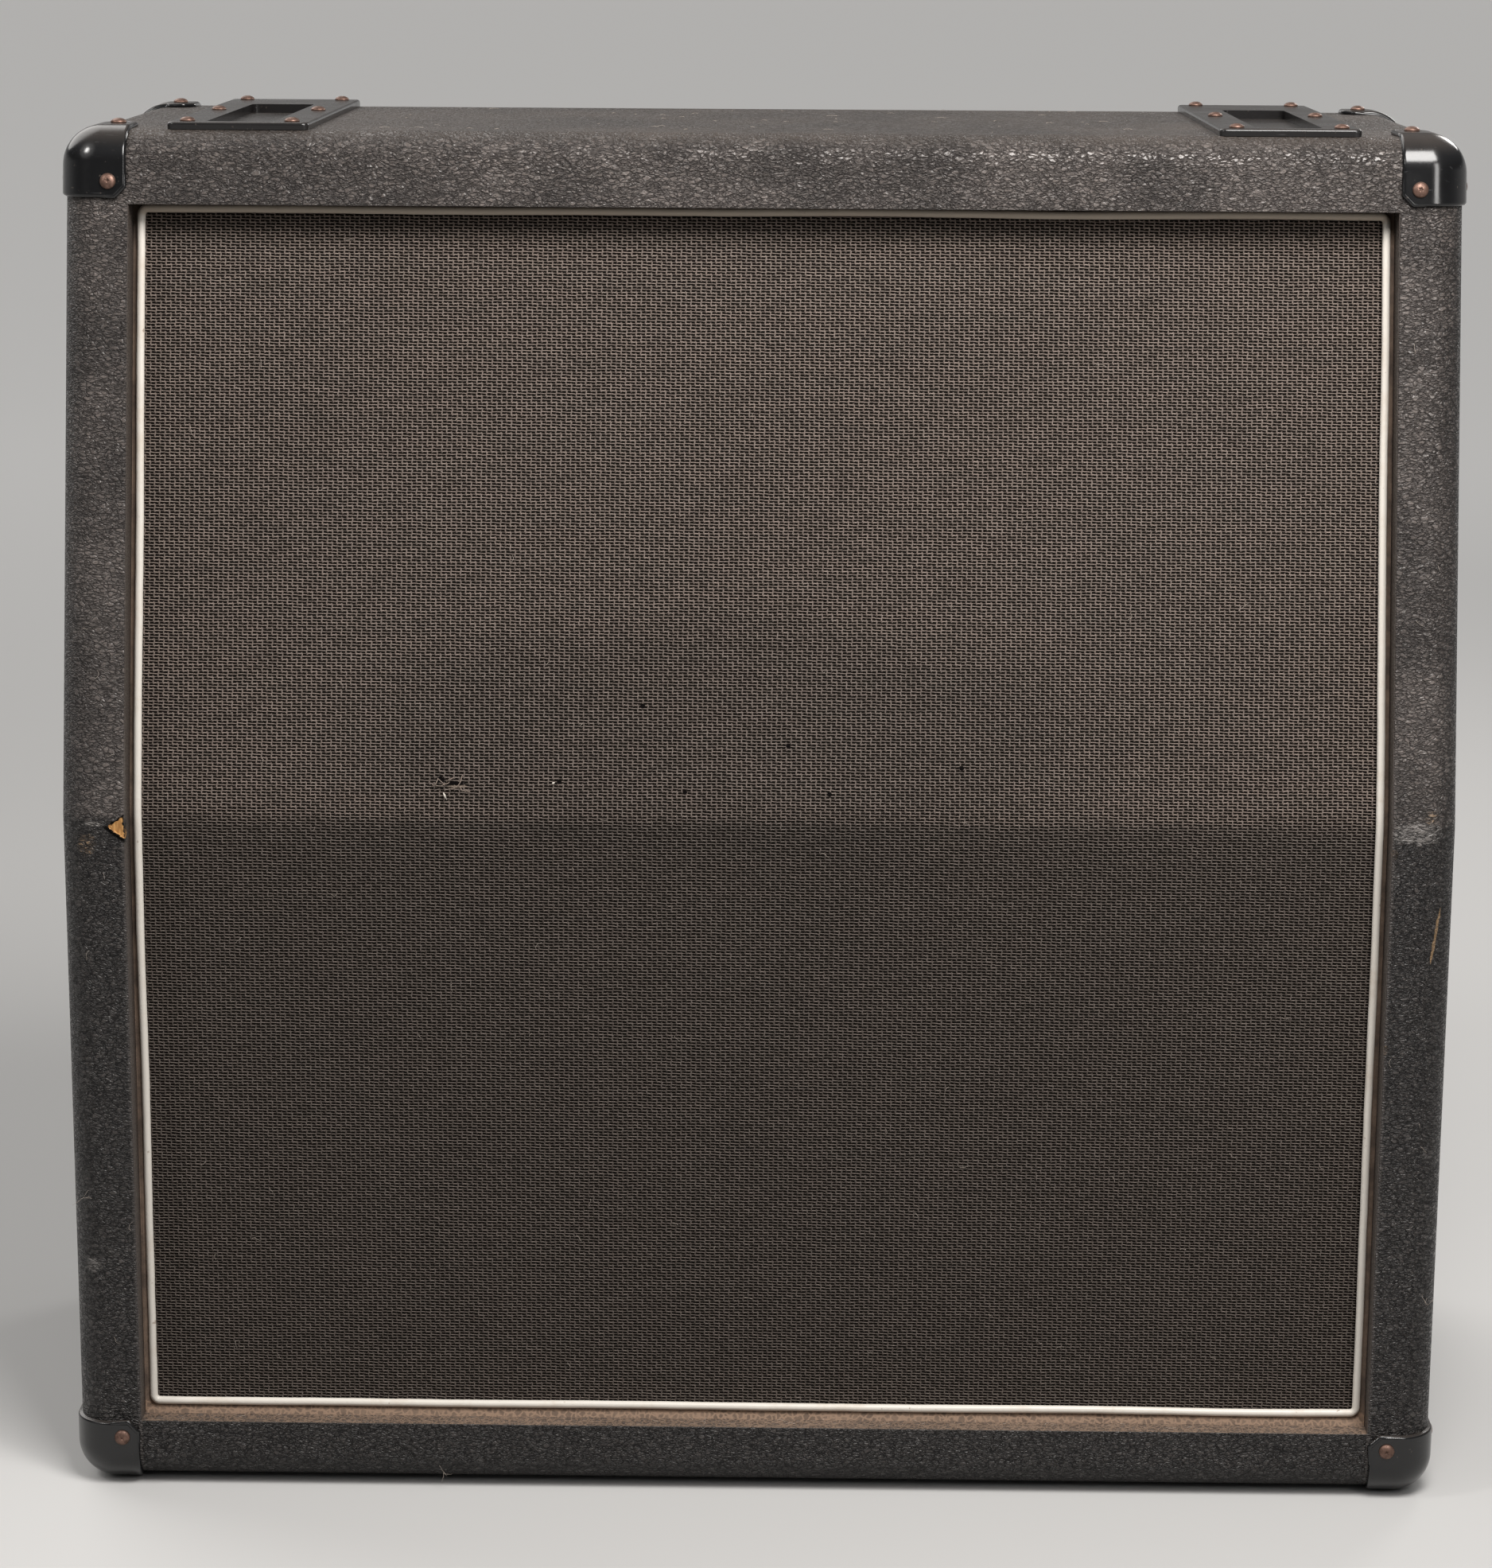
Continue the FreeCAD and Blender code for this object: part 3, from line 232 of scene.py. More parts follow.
def vinylLook():
    k = Look("wornVinyl", Specular_IOR_Level=0.46)
    x, y, z = k.split(k.at)
    side, up = abs(x), k.upward()
    pushed = k.at
    for scale, amount in vinyl["stirs"]:
        pushed = k.stir(pushed, scale, amount)
    # 0 in the creases round each pebble; finer creases run where a noise crosses set levels
    pebbles = k.cells(k.grow(pushed, vinyl["pebble"], vinyl["pebbleTurn"]))
    stirred = k.stir(k.at, *vinyl["wrinkleStir"])
    wrinkles = k.cloud(k.grow(stirred, vinyl["wrinkle"], vinyl["wrinkleTurn"]), 1.0, 2.0)
    wrinkles = abs((wrinkles * vinyl["levels"]) % 1 - 0.5) * 2
    pillow = k.smooth(pebbles, 0.0, 0.20)
    ridge = k.smooth(wrinkles, 0.0, 0.60)
    crest = pillow * ridge
    tops = k.smooth(wrinkles, 0.62, 1.0) * pillow
    swell = k.cloud(k.grow(pushed, vinyl["swell"]), 1.0, 1.0)
    height = pillow * 0.34 + ridge * 0.44 + swell * 0.60 + k.cloud(k.at, vinyl["fine"]) * 0.04

    inside = (1 - k.smooth(side, *vinyl["sideIn"])) * k.smooth(z, *vinyl["lowIn"])
    inside = inside * (1 - k.smooth(z, *vinyl["highIn"])) * (1 - k.smooth(y, *vinyl["backIn"]))
    patches = k.cloud(k.at, 22, 4.0, 0.6)
    # the creases are painted darker than the pebble tops: painted shade
    colour = k.blend(k.smooth(pillow * 0.5 + ridge * 0.5, 0.15, 0.75), vinyl["creaseShade"], vinyl["hide"])
    # the tops of the grain are lighter grey, partly rubbed wear and partly painted highlight; the leaning
    # front gets a film that is partly dust and partly painted sheen, strongest on crests and tops
    colour = k.blend(tops * (0.26 + 0.30 * k.smooth(patches, 0.34, 0.76)), colour, vinyl["rubbedAndHighlight"])
    flat = k.smooth(up, 0.60, 0.99)
    lean = k.smooth(up, 0.02, 0.24) * (0.5 + 0.5 * k.smooth(patches, 0.35, 0.65)) * (1 - 0.75 * flat)
    # painted sheen with dust: the upward-leaning front and its crests are lightened
    colour = k.blend(lean * (0.17 + 0.23 * crest + 0.16 * tops), colour, vinyl["filmAndSheen"])
    # dust lies on what faces up, and most on the ledge under the cloth
    patchy = k.smooth(k.cloud(k.at, 9, 5.0, 0.6), 0.22, 0.78)
    dust = flat * (0.10 + 0.32 * patchy) * (1.0 - 0.85 * crest)
    colour = k.blend(dust, colour, vinyl["dust"])
    colour = k.blend(inside * (1 - flat) * 0.85, colour, vinyl["return"])
    settled = 0.10 + 0.25 * patchy + 0.60 * (1 - k.smooth(crest, 0.10, 0.62))
    colour = k.blend(inside * flat * settled, colour, vinyl["ledge"])
    edge = k.smooth(side, *vinyl["edgeIn"]) * (1 - k.smooth(side, *vinyl["edgeOut"]))
    edge = edge * (1 - k.smooth(y, *vinyl["edgeBack"]))
    colour = k.blend(edge * 0.30, colour, vinyl["rubbedAndHighlight"])

    face = 1 - k.smooth(y, *vinyl["faceBack"])
    scuffs = k.most(*[k.spot(k.at, c, s, 1.1, 420) for c, s in vinyl["scuffs"]]) * (0.25 + 0.75 * ridge)
    colour = k.blend(scuffs * 0.55, colour, vinyl["scuff"])
    tans = k.most(*[k.spot(k.at, c, s, 1.3, 500) for c, s in vinyl["tans"]]) * (0.2 + 0.8 * pillow)
    colour = k.blend(tans * (0.10 + 0.55 * tops), colour, vinyl["tan"])
    cut = cutMask(k, x, z) * face
    colour = k.blend(cut * (0.35 + 0.5 * k.cloud(k.at, 900)), colour, vinyl["tan"])
    torn, flapShadow = tearMasks(k, x, z, face)
    streaks = k.cloud(k.grow(k.at, vinyl["streaks"]), 1.0, 3.0)
    timber = k.blend(k.smooth(streaks, 0.3, 0.7), *vinyl["timber"])
    # painted shadow under the lifted cover along the tear
    colour = k.blend(flapShadow * 0.95, colour, vinyl["flapShadowTone"])
    colour = k.blend(torn, colour, timber)

    # creases and the painted shadow at the tear are made partly metallic over their near-black colour, so
    # little light comes out of them: painted shade
    deep = k.most(1 - k.smooth(crest, 0.02, 0.34), flapShadow * 2) * (1 - inside) * (1 - torn) * (1 - 0.7 * dust)
    rough = 0.27 + 0.20 * (1 - crest) + 0.25 * dust + 0.16 * inside + 0.25 * torn
    height = height * (1 - torn) * (1 - 0.8 * inside * (1 - flat)) * (1 - 0.5 * cut) - torn * 0.9
    return k.finish(height, vinyl["relief"], 1.0, Base_Color=colour, Roughness=rough, Metallic=deep * 0.45)


weave = {  # places are x and the run up from the cloth's lower edge
    "pitch": 0.00545, "row": 0.00169, "lean": -0.10, "sag": 0.20, "stirs": ((55, 0.0010), (500, 0.00045)),
    "thread": (0.335, 0.266, 0.229), "lower": (0.240, 0.198, 0.174), "gap": (0.004, 0.003, 0.002),
    "dust": (0.30, 0.25, 0.22), "shade": (0.085, 0.080, 0.076), "dull": (0.085, 0.074, 0.064),
    "upright": (0.045, 0.036, 0.030), "crownHighlight": (0.42, 0.36, 0.325), "lint": (0.42, 0.37, 0.33),
    "lip": (0.30, 0.24, 0.19), "through": (0.003, 0.002, 0.002),
    "bend": 0.3456, "bendBlur": (-0.006, 0.003), "shadeAt": ((-0.02, 0.3906, 0), (0.24, 0.075, 1)),
    "speakers": [(-0.1654, 0.1704), (0.1654, 0.1704), (-0.1654, 0.5114), (0.1654, 0.5114)],
    "speakerRim": (0.118, 0.150), "holeSize": (0.0016, 0.0016, 1),
    "holes": [(-0.0636, 0.4078), (0.0166, 0.3867), (0.1119, 0.3752),
              (-0.1092, 0.3658), (-0.0400, 0.3608), (0.0395, 0.3602)],
    "rips": [((-0.1660, 0.3645, 0), (0.0062, 0.0012, 1)), ((-0.1745, 0.3665, 0), (0.0030, 0.0022, 1))],
    "lipAt": ((-0.1655, 0.3628, 0), (0.0065, 0.0010, 1)),
}


def weaveLook():
    k = Look("wovenCloth", Specular_IOR_Level=0.08)
    uv = k.node("UVMap", {"uv_map": "cut"})
    pulled = uv
    for scale, amount in weave["stirs"]:
        pulled = k.stir(pulled, scale, amount)
    u, v, _ = k.split(pulled)
    rows = v / weave["row"]
    pairs = rows / 2
    columns = u / weave["pitch"] + (k.maths("FLOOR", pairs) % 2) * 0.5 + (pairs % 1 - 0.5) * weave["lean"]
    cell = columns % 1
    inRow = abs((rows + (cell - 0.5) * weave["sag"]) % 1 - 0.5) * 2  # 0 in a gap, 1 on a cross thread
    fromUpright = 1 - abs(cell - 0.5) * 2  # 0 on an upright of this pair of rows, 1 on the next pairs' own
    fromPair = 0.5 - abs(pairs % 1 - 0.5)
    cross = k.smooth(inRow, 0.50, 0.97)
    upright = 1 - k.smooth(fromUpright, 0.03, 0.22)
    tip = (1 - k.smooth(1 - fromUpright, 0.03, 0.24)) * (1 - k.smooth(fromPair, 0.14, 0.30))
    cover = k.most(cross, upright, tip * 0.85)
    thread = k.maths("FLOOR", rows) * 3.7 + k.maths("FLOOR", columns) * 7.3  # a number for each thread
    each = k.node("TexWhiteNoise", {"noise_dimensions": "1D"}, {"W": thread})

    upper = k.smooth(k.split(uv)[1], *[weave["bend"] + blur for blur in weave["bendBlur"]])
    away = [k.vectors("DISTANCE", uv, (a, b, 0), outlet="Value") for a, b in weave["speakers"]]
    ghosts = k.most(*[1 - k.smooth(reach, *weave["speakerRim"]) for reach in away])
    haze = k.cloud(uv, 7, 4.0, 0.6)
    # the lower part of the cloth is darker: partly dust settled on the upper part, partly painted shade where
    # less light falls
    colour = k.blend(upper, weave["lower"], weave["thread"])
    colour = k.blend(k.smooth(haze, 0.40, 0.75) * (0.14 + 0.16 * ghosts), colour, weave["dust"])
    colour = k.blend(k.spot(uv, *weave["shadeAt"], 0.5, 12) * 0.28, colour, weave["shade"])
    colour = k.blend((1 - each) * 0.50, colour, weave["dull"])
    colour = k.blend(k.most(upright, tip) * (0.72 - 0.36 * upper), colour, weave["upright"])  # painted shade: they lie low under the cross threads, and are darker over the lower part
    # painted highlight on the crowns of the threads
    crownHighlight = k.smooth(cover, 0.70, 1.0) * k.smooth(k.cloud(uv, 260, 2.0), 0.35, 0.70)
    colour = k.blend(crownHighlight * 0.26, colour, weave["crownHighlight"])
    lint = k.smooth(k.cloud(uv, 640, 1.0), 0.775, 0.82)
    colour = k.blend(lint * 0.55, colour, weave["lint"])
    colour = k.blend(cover, weave["gap"], colour)

    holes = k.most(*[k.spot(uv, (a, b, 0), weave["holeSize"], 0.25, 900) for a, b in weave["holes"]])
    rips = k.most(*[k.spot(uv, c, s, 0.8, 500) for c, s in weave["rips"]])
    colour = k.blend(k.spot(uv, *weave["lipAt"], 0.8, 500) * 0.5, colour, weave["lip"])
    through = k.most(holes, rips)
    colour = k.blend(through, colour, weave["through"])
    height = (cover * 0.70 + upright * 0.30) * (1 - through)
    return k.finish(height, 0.0005, 0.9, Base_Color=colour, Roughness=0.90 - 0.12 * cover)


def plasticLook(name, base, dust, gloss, dustShare, grain=0.0):
    k = Look(name, Specular_IOR_Level=0.55)
    hair = k.cloud(k.grow(k.at, (40, 700, 420), (0.3, 0.5, 0.2)), 1.0, 3.0, 0.6)  # fine handling scratches
    scratch = k.smooth(hair, 0.66, 0.74)
    blotch = k.cloud(k.at, 30, 6.0, 0.72)
    settled = k.smooth(k.upward(), 0.45, 0.95) * (0.70 + 0.30 * k.smooth(blotch, 0.25, 0.75)) * dustShare
    specks = k.smooth(k.cloud(k.at, 420, 1.0), 0.72, 0.80) * 0.30
    colour = k.blend(k.most(settled, specks), base, dust)
    colour = k.blend(scratch * 0.25, colour, [c * 5 + 0.03 for c in base])
    rough = gloss + 0.16 * scratch + 0.45 * settled + 0.06 * k.smooth(blotch, 0.35, 0.75)
    height = k.cloud(k.at, 26, 1.0) * (1.0 - grain) + k.cloud(k.at, 1300, 2.0) * grain - scratch * 0.06
    return k.finish(height, 0.0005, 0.35 + 0.5 * grain, Base_Color=colour, Roughness=rough)


def metalLook(name, base, tarnish, rough, share=0.8, size=120, metallic=0.9):
    k = Look(name, Metallic=metallic)
    stain = k.cloud(k.at, size, 5.0, 0.65)
    colour = k.blend(k.smooth(stain, 0.38, 0.70) * share, base, tarnish)
    rough = rough + 0.25 * k.smooth(stain, 0.35, 0.75)
    return k.finish(k.cloud(k.at, size * 9, 3.0), 0.0002, 0.4, Base_Color=colour, Roughness=rough)


def woodLook(name, pale, dark, lie):
    k = Look(name, Specular_IOR_Level=0.3)
    rings = k.node("TexWave", {"bands_direction": lie, "wave_profile": "SAW"},
                   {"Vector": k.stir(k.at, 6, 0.02), "Scale": 42.0, "Distortion": 3.0, "Detail": 3.0}, 1)
    pores = k.cloud(k.grow(k.at, (500, 500, 60)), 1.0, 4.0)
    colour = k.blend(rings * 0.55 + 0.3 * pores, pale, dark)
    return k.finish(rings * 0.6 + pores * 0.4, 0.0003, 0.5, Base_Color=colour, Roughness=0.6 + 0.15 * pores)


def mattLook(name, pale, dark, rough, size):
    k = Look(name, Specular_IOR_Level=0.3)
    mottle = k.cloud(k.at, size, 5.0, 0.65)
    colour = k.blend(k.smooth(mottle, 0.30, 0.72), dark, pale)
    rough = rough + 0.12 * mottle
    return k.finish(k.cloud(k.at, size * 12, 3.0), 0.0003, 0.6, Base_Color=colour, Roughness=rough)


def pipingLook():
    k = Look("agedPiping", Specular_IOR_Level=0.45)
    grimeAndShade = k.smooth(k.cloud(k.at, 34, 5.0, 0.7), 0.50, 0.76)
    grimeAndShade = k.most(grimeAndShade, 1.4 * k.smooth(k.split(k.at)[2], 0.7090, 0.7125))  # the top run under the top border is painted darker and browner: painted shade
    spots = k.smooth(k.cloud(k.at, 240, 2.0), 0.70, 0.78)
    colour = k.blend(grimeAndShade * 0.50, (0.80, 0.753, 0.682), (0.58, 0.47, 0.36))
    colour = k.blend(spots * 0.6, colour, (0.25, 0.16, 0.10))
    return k.finish(k.cloud(k.at, 300, 3.0), 0.0002, 0.5, Base_Color=colour, Roughness=0.36 + 0.25 * grimeAndShade)


def tapeLook():
    k = Look("dustyTape", Specular_IOR_Level=0.2)
    felt = k.cloud(k.at, 60, 5.0, 0.7)
    colour = k.blend(k.smooth(felt, 0.3, 0.7), (0.075, 0.056, 0.046), (0.19, 0.135, 0.100))
    net = 1 - k.smooth(k.cells(k.grow(k.stir(k.at, 300, 0.002), (300, 300, 300))), 0.04, 0.22)
    low = 1 - k.smooth(k.split(k.at)[2], 0.0462, 0.0480)  # the lower run is as dusty as the ledge
    colour = k.blend(low * (0.25 + 0.65 * net), colour, vinyl["ledge"])
    return k.finish(k.cloud(k.at, 900, 3.0), 0.0003, 0.6, Base_Color=colour, Roughness=0.85)


def fibreLook(name, colour):
    k = Look(name, Specular_IOR_Level=0.2)
    tone = k.blend(k.cloud(k.at, 400, 2.0), [c * 0.6 for c in colour], colour)
    return k.finish(k.cloud(k.at, 3000), 0.0001, 0.5, Base_Color=tone, Roughness=0.8)


brownDust, greyDust = (0.16, 0.13, 0.11), (0.14, 0.12, 0.10)
finishes = {
    "vinyl": vinylLook(),
    "cloth": weaveLook(),
    "piping": pipingLook(),
    "corner_plastic": plasticLook("glossyCorner", (0.006, 0.006, 0.0065), brownDust, 0.15, 0.22),
    "dish_plastic": plasticLook("dustyDish", (0.010, 0.009, 0.009), (0.13, 0.105, 0.088), 0.20, 0.18),
    "handle_plastic": plasticLook("mouldedHandle", (0.016, 0.016, 0.017), greyDust, 0.38, 0.35, 0.6),
    "switch_plastic": plasticLook("switchBlack", (0.02, 0.02, 0.02), greyDust, 0.35, 0.3, 0.3),
    "brown_screws": metalLook("copperedScrew", (0.20, 0.118, 0.090), (0.075, 0.043, 0.032), 0.38, 0.85, 260,
                              0.65),
    "black_screws": metalLook("blackScrew", (0.10, 0.10, 0.105), (0.13, 0.10, 0.08), 0.28, 0.5, 200, 0.7),
    "bright_screws": metalLook("zincScrew", (0.55, 0.55, 0.54), (0.30, 0.28, 0.25), 0.32, 0.6, 150),
    "socket_steel": metalLook("dullZinc", (0.47, 0.47, 0.46), (0.24, 0.21, 0.18), 0.38, 0.7, 60),
    "plate_steel": metalLook("blackPlate", (0.035, 0.035, 0.037), (0.075, 0.065, 0.058), 0.40, 0.6, 90, 0.3),
    "jack": metalLook("jackPlating", (0.30, 0.30, 0.31), (0.10, 0.095, 0.09), 0.30, 0.6, 180, 0.7),
    "frame_steel": metalLook("greyFrame", (0.30, 0.31, 0.32), (0.20, 0.20, 0.20), 0.40, 0.5, 40, 0.4),
    "magnet": metalLook("darkMagnet", (0.17, 0.17, 0.18), (0.09, 0.085, 0.08), 0.45, 0.7, 45, 0.5),
    "plywood": woodLook("birchPly", (0.60, 0.45, 0.28), (0.40, 0.27, 0.15), "Z"),
    "softwood": woodLook("planedStrip", (0.68, 0.52, 0.33), (0.48, 0.33, 0.19), "Y"),
    "cone_paper": mattLook("conePaper", (0.085, 0.080, 0.075), (0.045, 0.042, 0.04), 0.78, 120),
    "suspension": mattLook("dopedCloth", (0.20, 0.155, 0.10), (0.11, 0.085, 0.055), 0.70, 200),
    "wire": mattLook("blackWire", (0.035, 0.035, 0.036), (0.02, 0.02, 0.02), 0.50, 90),
}
blackBoard = mattLook("blackedBoard", (0.018, 0.016, 0.015), (0.008, 0.007, 0.007), 0.80, 60)
slotOf = {p["node"]: p["material_slot"] for p in frame["record"]["subparts"]}
print("finishes:", len(finishes))


def place(name, data):
    made = bpy.data.objects.new(name, data)
    scene.collection.objects.link(made)
    return made


def meshOf(name, points, faces):
    mesh = bpy.data.meshes.new(name)
    mesh.from_pydata([tuple(p) for p in points], [], faces)
    mesh.shade_smooth()
    return mesh


def faceOut(mesh, weld=0.0):  # turns all faces outward, and joins points nearer than weld
    work = bmesh.new()
    work.from_mesh(mesh)
    if weld:
        bmesh.ops.remove_doubles(work, verts=work.verts, dist=weld)
    bmesh.ops.recalc_face_normals(work, faces=work.faces)
    work.to_mesh(mesh)
    work.free()


def welded(name, weld):  # a copy of a node's mesh, with its doubled points joined
    work = bmesh.new()
    work.from_mesh(nodes[name].data)
    bmesh.ops.remove_doubles(work, verts=work.verts, dist=weld)
    return work


def baked(piece):  # a plain mesh of what the modifiers give
    mesh = bpy.data.meshes.new_from_object(piece.evaluated_get(bpy.context.evaluated_depsgraph_get()))
    bpy.data.objects.remove(piece)
    return mesh


def keep(name, mesh, body, slot, *stoodFor, finish=None):
    piece = place(name, mesh)
    mesh.materials.clear()
    mesh.materials.append(finish or finishes[slot])
    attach(piece, body)
    if stoodFor:
        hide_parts(*stoodFor)
    return piece


class Tree:  # a geometry node tree with named inputs
    def __init__(self, name, inputs):
        self.group = bpy.data.node_groups.new(name, "GeometryNodeTree")
        self.group.interface.new_socket("Geometry", in_out="OUTPUT", socket_type="NodeSocketGeometry")
        self.group.interface.new_socket("Geometry", in_out="INPUT", socket_type="NodeSocketGeometry")
        self.keys = {}
        for label, kind in inputs:
            made = self.group.interface.new_socket(label, in_out="INPUT", socket_type="NodeSocket" + kind)
            self.keys[label] = made.identifier
        self.start = self.group.nodes.new("NodeGroupInput").outputs
        self.end = self.group.nodes.new("NodeGroupOutput").inputs

    def node(self, kind, settings=None, sockets=None, outlet=0):
        made = self.group.nodes.new(kind)
        for key, value in (settings or {}).items():
            setattr(made, key, value)
        for key, value in (sockets or {}).items():
            if isinstance(value, bpy.types.NodeSocket):
                self.group.links.new(value, made.inputs[key])
            else:
                made.inputs[key].default_value = value
        return made.outputs[outlet]

    def join(self, *shapes):
        made = self.group.nodes.new("GeometryNodeJoinGeometry")
        for shape in shapes:
            self.group.links.new(shape, made.inputs[0])
        return made.outputs[0]

    def close(self, shape):
        real = self.node("GeometryNodeRealizeInstances", None, {0: shape})
        sockets = {"Geometry": real, "Material": self.start["Finish"]}
        self.group.links.new(self.node("GeometryNodeSetMaterial", None, sockets), self.end[0])
        return self

    def run(self, carrier, **values):  # carrier becomes a plain mesh
        modifier = carrier.modifiers.new("nodes", "NODES")
        modifier.node_group = self.group
        for label, value in values.items():
            modifier[self.keys[label.replace("_", " ")]] = value
        return baked(carrier)


def tubeTree():
    t = Tree("sweptTube", [("Radius", "Float"), ("Sides", "Int"), ("Finish", "Material")])
    s = t.start
    girth = t.node("GeometryNodeInputNamedAttribute", {"data_type": "FLOAT"}, {"Name": "girth"})
    radius = t.node("ShaderNodeMath", {"operation": "MULTIPLY"}, {0: girth, 1: s["Radius"]})
    line = t.node("GeometryNodeMeshToCurve", None, {"Mesh": s["Geometry"]})
    ring = t.node("GeometryNodeCurvePrimitiveCircle", None, {"Resolution": s["Sides"], "Radius": 1.0})
    tube = t.node("GeometryNodeCurveToMesh", None,
                  {"Curve": line, "Profile Curve": ring, "Scale": radius, "Fill Caps": True})
    return t.close(t.node("GeometryNodeSetShadeSmooth", None, {0: tube}))


def evenSteps(line, step):  # a closed line with points at even steps
    path = []
    for a, b in zip(line, line[1:] + line[:1]):
        a, b = Vector(a), Vector(b)
        count = max(1, round((b - a).length / step))
        path += [tuple(a.lerp(b, i / count)) for i in range(count)]
    return path


def pathCarrier(paths, closed=False, girths=None):  # lines as the edges of a mesh, for the tube tree
    points, edges, thick = [], [], []
    for n, path in enumerate(paths):
        first = len(points)
        points += path
        edges += [(first + i, first + i + 1) for i in range(len(path) - 1)]
        if closed:
            edges.append((len(points) - 1, first))
        thick += girths[n] if girths else [1.0] * len(path)
    mesh = bpy.data.meshes.new("path")
    mesh.from_pydata(points, edges, [])
    girth = mesh.attributes.new("girth", "FLOAT", "POINT")
    girth.data.foreach_set("value", thick)
    return place("path", mesh)


tubes = tubeTree()
front = {"y": -0.1814, "bend": 0.3892, "tilt": math.atan2(0.0770, 0.3674), "ease": 0.008}


def onFront(depth, run):  # (y, z, lean) on the bent front; run is measured up the face from the bend
    ease, tilt = front["ease"], front["tilt"]
    part = min(max((run + ease) / (2 * ease), 0.0), 1.0)
    over = run if run > ease else ease * part * part
    y = front["y"] + depth + over * math.sin(tilt)
    z = front["bend"] - depth * math.tan(tilt / 2) + run + (math.cos(tilt) - 1) * over
    return y, z, tilt * part


def runOf(depth, z):
    up = z - front["bend"] + depth * math.tan(front["tilt"] / 2)
    return up / math.cos(front["tilt"]) if up > 0 else up


cloth = {"recess": 0.0173, "step": 0.006, "thick": 0.0004, "swell": 0.00022, "pucker": 0.00018,
         "puckerReach": 0.012}


def clothSheet():
    low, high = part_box("grille_cloth")
    runLow, runHigh = runOf(cloth["recess"], low.z), runOf(cloth["recess"], high.z)
    wide, tall = high.x - low.x, runHigh - runLow
    nu, nv = round(wide / cloth["step"]), round(tall / cloth["step"])
    points, uvs = [], []
    for j in range(nv + 1):
        run = runLow + tall * j / nv
        y, z, lean = onFront(cloth["recess"], run)
        for i in range(nu + 1):
            x = low.x + wide * i / nu
            rim = min(i, nu - i, j, nv - j) * cloth["step"]
            pucker = cloth["pucker"] * math.exp(-rim / cloth["puckerReach"])
            lift = cloth["swell"] * (0.5 + 0.5 * noise.noise((x * 11, run * 11, 0.3)))
            lift += pucker * (0.5 + 0.5 * noise.noise((x * 60, run * 60, 7.0)))
            points.append((x, y - lift * math.cos(lean), z + lift * math.sin(lean)))
            uvs.append((x, run - runLow))
    row = nu + 1
    corners = [j * row + i for j in range(nv) for i in range(nu)]
    mesh = meshOf("grilleCloth", points, [(c, c + 1, c + row + 1, c + row) for c in corners])
    layer = mesh.uv_layers.new(name="cut")
    for loop in mesh.loops:
        layer.data[loop.index].uv = uvs[loop.vertex_index]
    loose = place("looseCloth", mesh)
    thick = loose.modifiers.new("thickness", "SOLIDIFY")
    thick.thickness = cloth["thick"]
    thick.offset = -1.0
    piece = keep("grilleCloth", baked(loose), "cabinet", "cloth", "grille_cloth")
    print("cloth:", round(wide, 4), "x", round(tall, 4))


clothSheet()

piping = {"depth": 0.0149, "radius": 0.0022, "half": 0.3410, "low": 0.0465, "high": 0.7140, "corner": 0.0034,
          "cornerSteps": 8, "step": 0.004, "sides": 14, "wander": 0.0008, "tremble": 0.00012, "uneven": 0.05}


def pipingTube():
    corner, turns = piping["corner"], piping["cornerSteps"]
    side = piping["half"] - corner
    low = runOf(piping["depth"], piping["low"]) + corner
    high = runOf(piping["depth"], piping["high"]) - corner
    line = []
    for cx, cr, begin in ((side, high, 0), (-side, high, 90), (-side, low, 180), (side, low, 270)):
        for i in range(turns + 1):
            a = math.radians(begin + 90 * i / turns)
            line.append((cx + corner * math.cos(a), cr + corner * math.sin(a), 0.0))
    path = []
    for x, run, _ in evenSteps(line, piping["step"]):
        sway = [piping["wander"] * noise.noise((x * 9, run * 9, k))
                + piping["tremble"] * noise.noise((x * 70, run * 70, k)) for k in (2.0, 5.0)]
        y, z, _ = onFront(piping["depth"], run + sway[1])
        path.append((x + sway[0], y, z))
    girth = [1 + piping["uneven"] * noise.noise((x * 40, y * 40, z * 40)) for x, y, z in path]
    mesh = tubes.run(pathCarrier([path], True, [girth]), Radius=piping["radius"], Sides=piping["sides"],
                     Finish=finishes["piping"])
    keep("whitePiping", mesh, "cabinet", "piping", "white_piping")
    print("piping:", len(path), "steps")


pipingTube()

tail = {"depth": 0.0164, "thick": 0.0003, "inner": 0.0006, "outer": (0.3457, 0.0393, 0.7170), "toe": 0.0042}


def tapeRing(half, low, high, depth, toe):  # points round the opening; the lower two stand out by toe
    low, high, ease = runOf(depth, low), runOf(depth, high), front["ease"]
    rise = [low, -ease, 0.0, ease, high]
    ring = [(half, run) for run in rise] + [(-half, run) for run in reversed(rise)]
    return [(x, *onFront(depth - (toe if run == low else 0.0), run)[:2]) for x, run in ring]


def pipingTail():  # the flat tape that the piping is sewn to, seen in the gap round it
    inner = tail["inner"]
    near = (piping["half"] + inner, piping["low"] - inner, piping["high"] + inner)
    depths = (tail["depth"], tail["depth"] + tail["thick"])
    rings = [tapeRing(*tail["outer"], depth, tail["toe"]) for depth in depths]  # toe slopes onto the ledge
    rings += [tapeRing(*near, depth, 0.0) for depth in depths]
    n = len(rings[0])
    faces = []
    for a, b in ((0, 2), (2, 3), (3, 1), (1, 0)):  # front, inner edge, back, outer edge
        faces += [(a * n + i, a * n + (i + 1) % n, b * n + (i + 1) % n, b * n + i) for i in range(n)]
    mesh = meshOf("pipingTail", [p for ring in rings for p in ring], faces)
    mesh.shade_flat()
    faceOut(mesh)
    keep("pipingTail", mesh, "cabinet", "piping", finish=tapeLook())
    print("tape:", len(faces), "faces")


pipingTail()

rims = {"thickness": 0.0024, "radius": 0.00150, "sides": 12, "step": 0.0016, "sharp": 0.9, "weld": 1e-5}


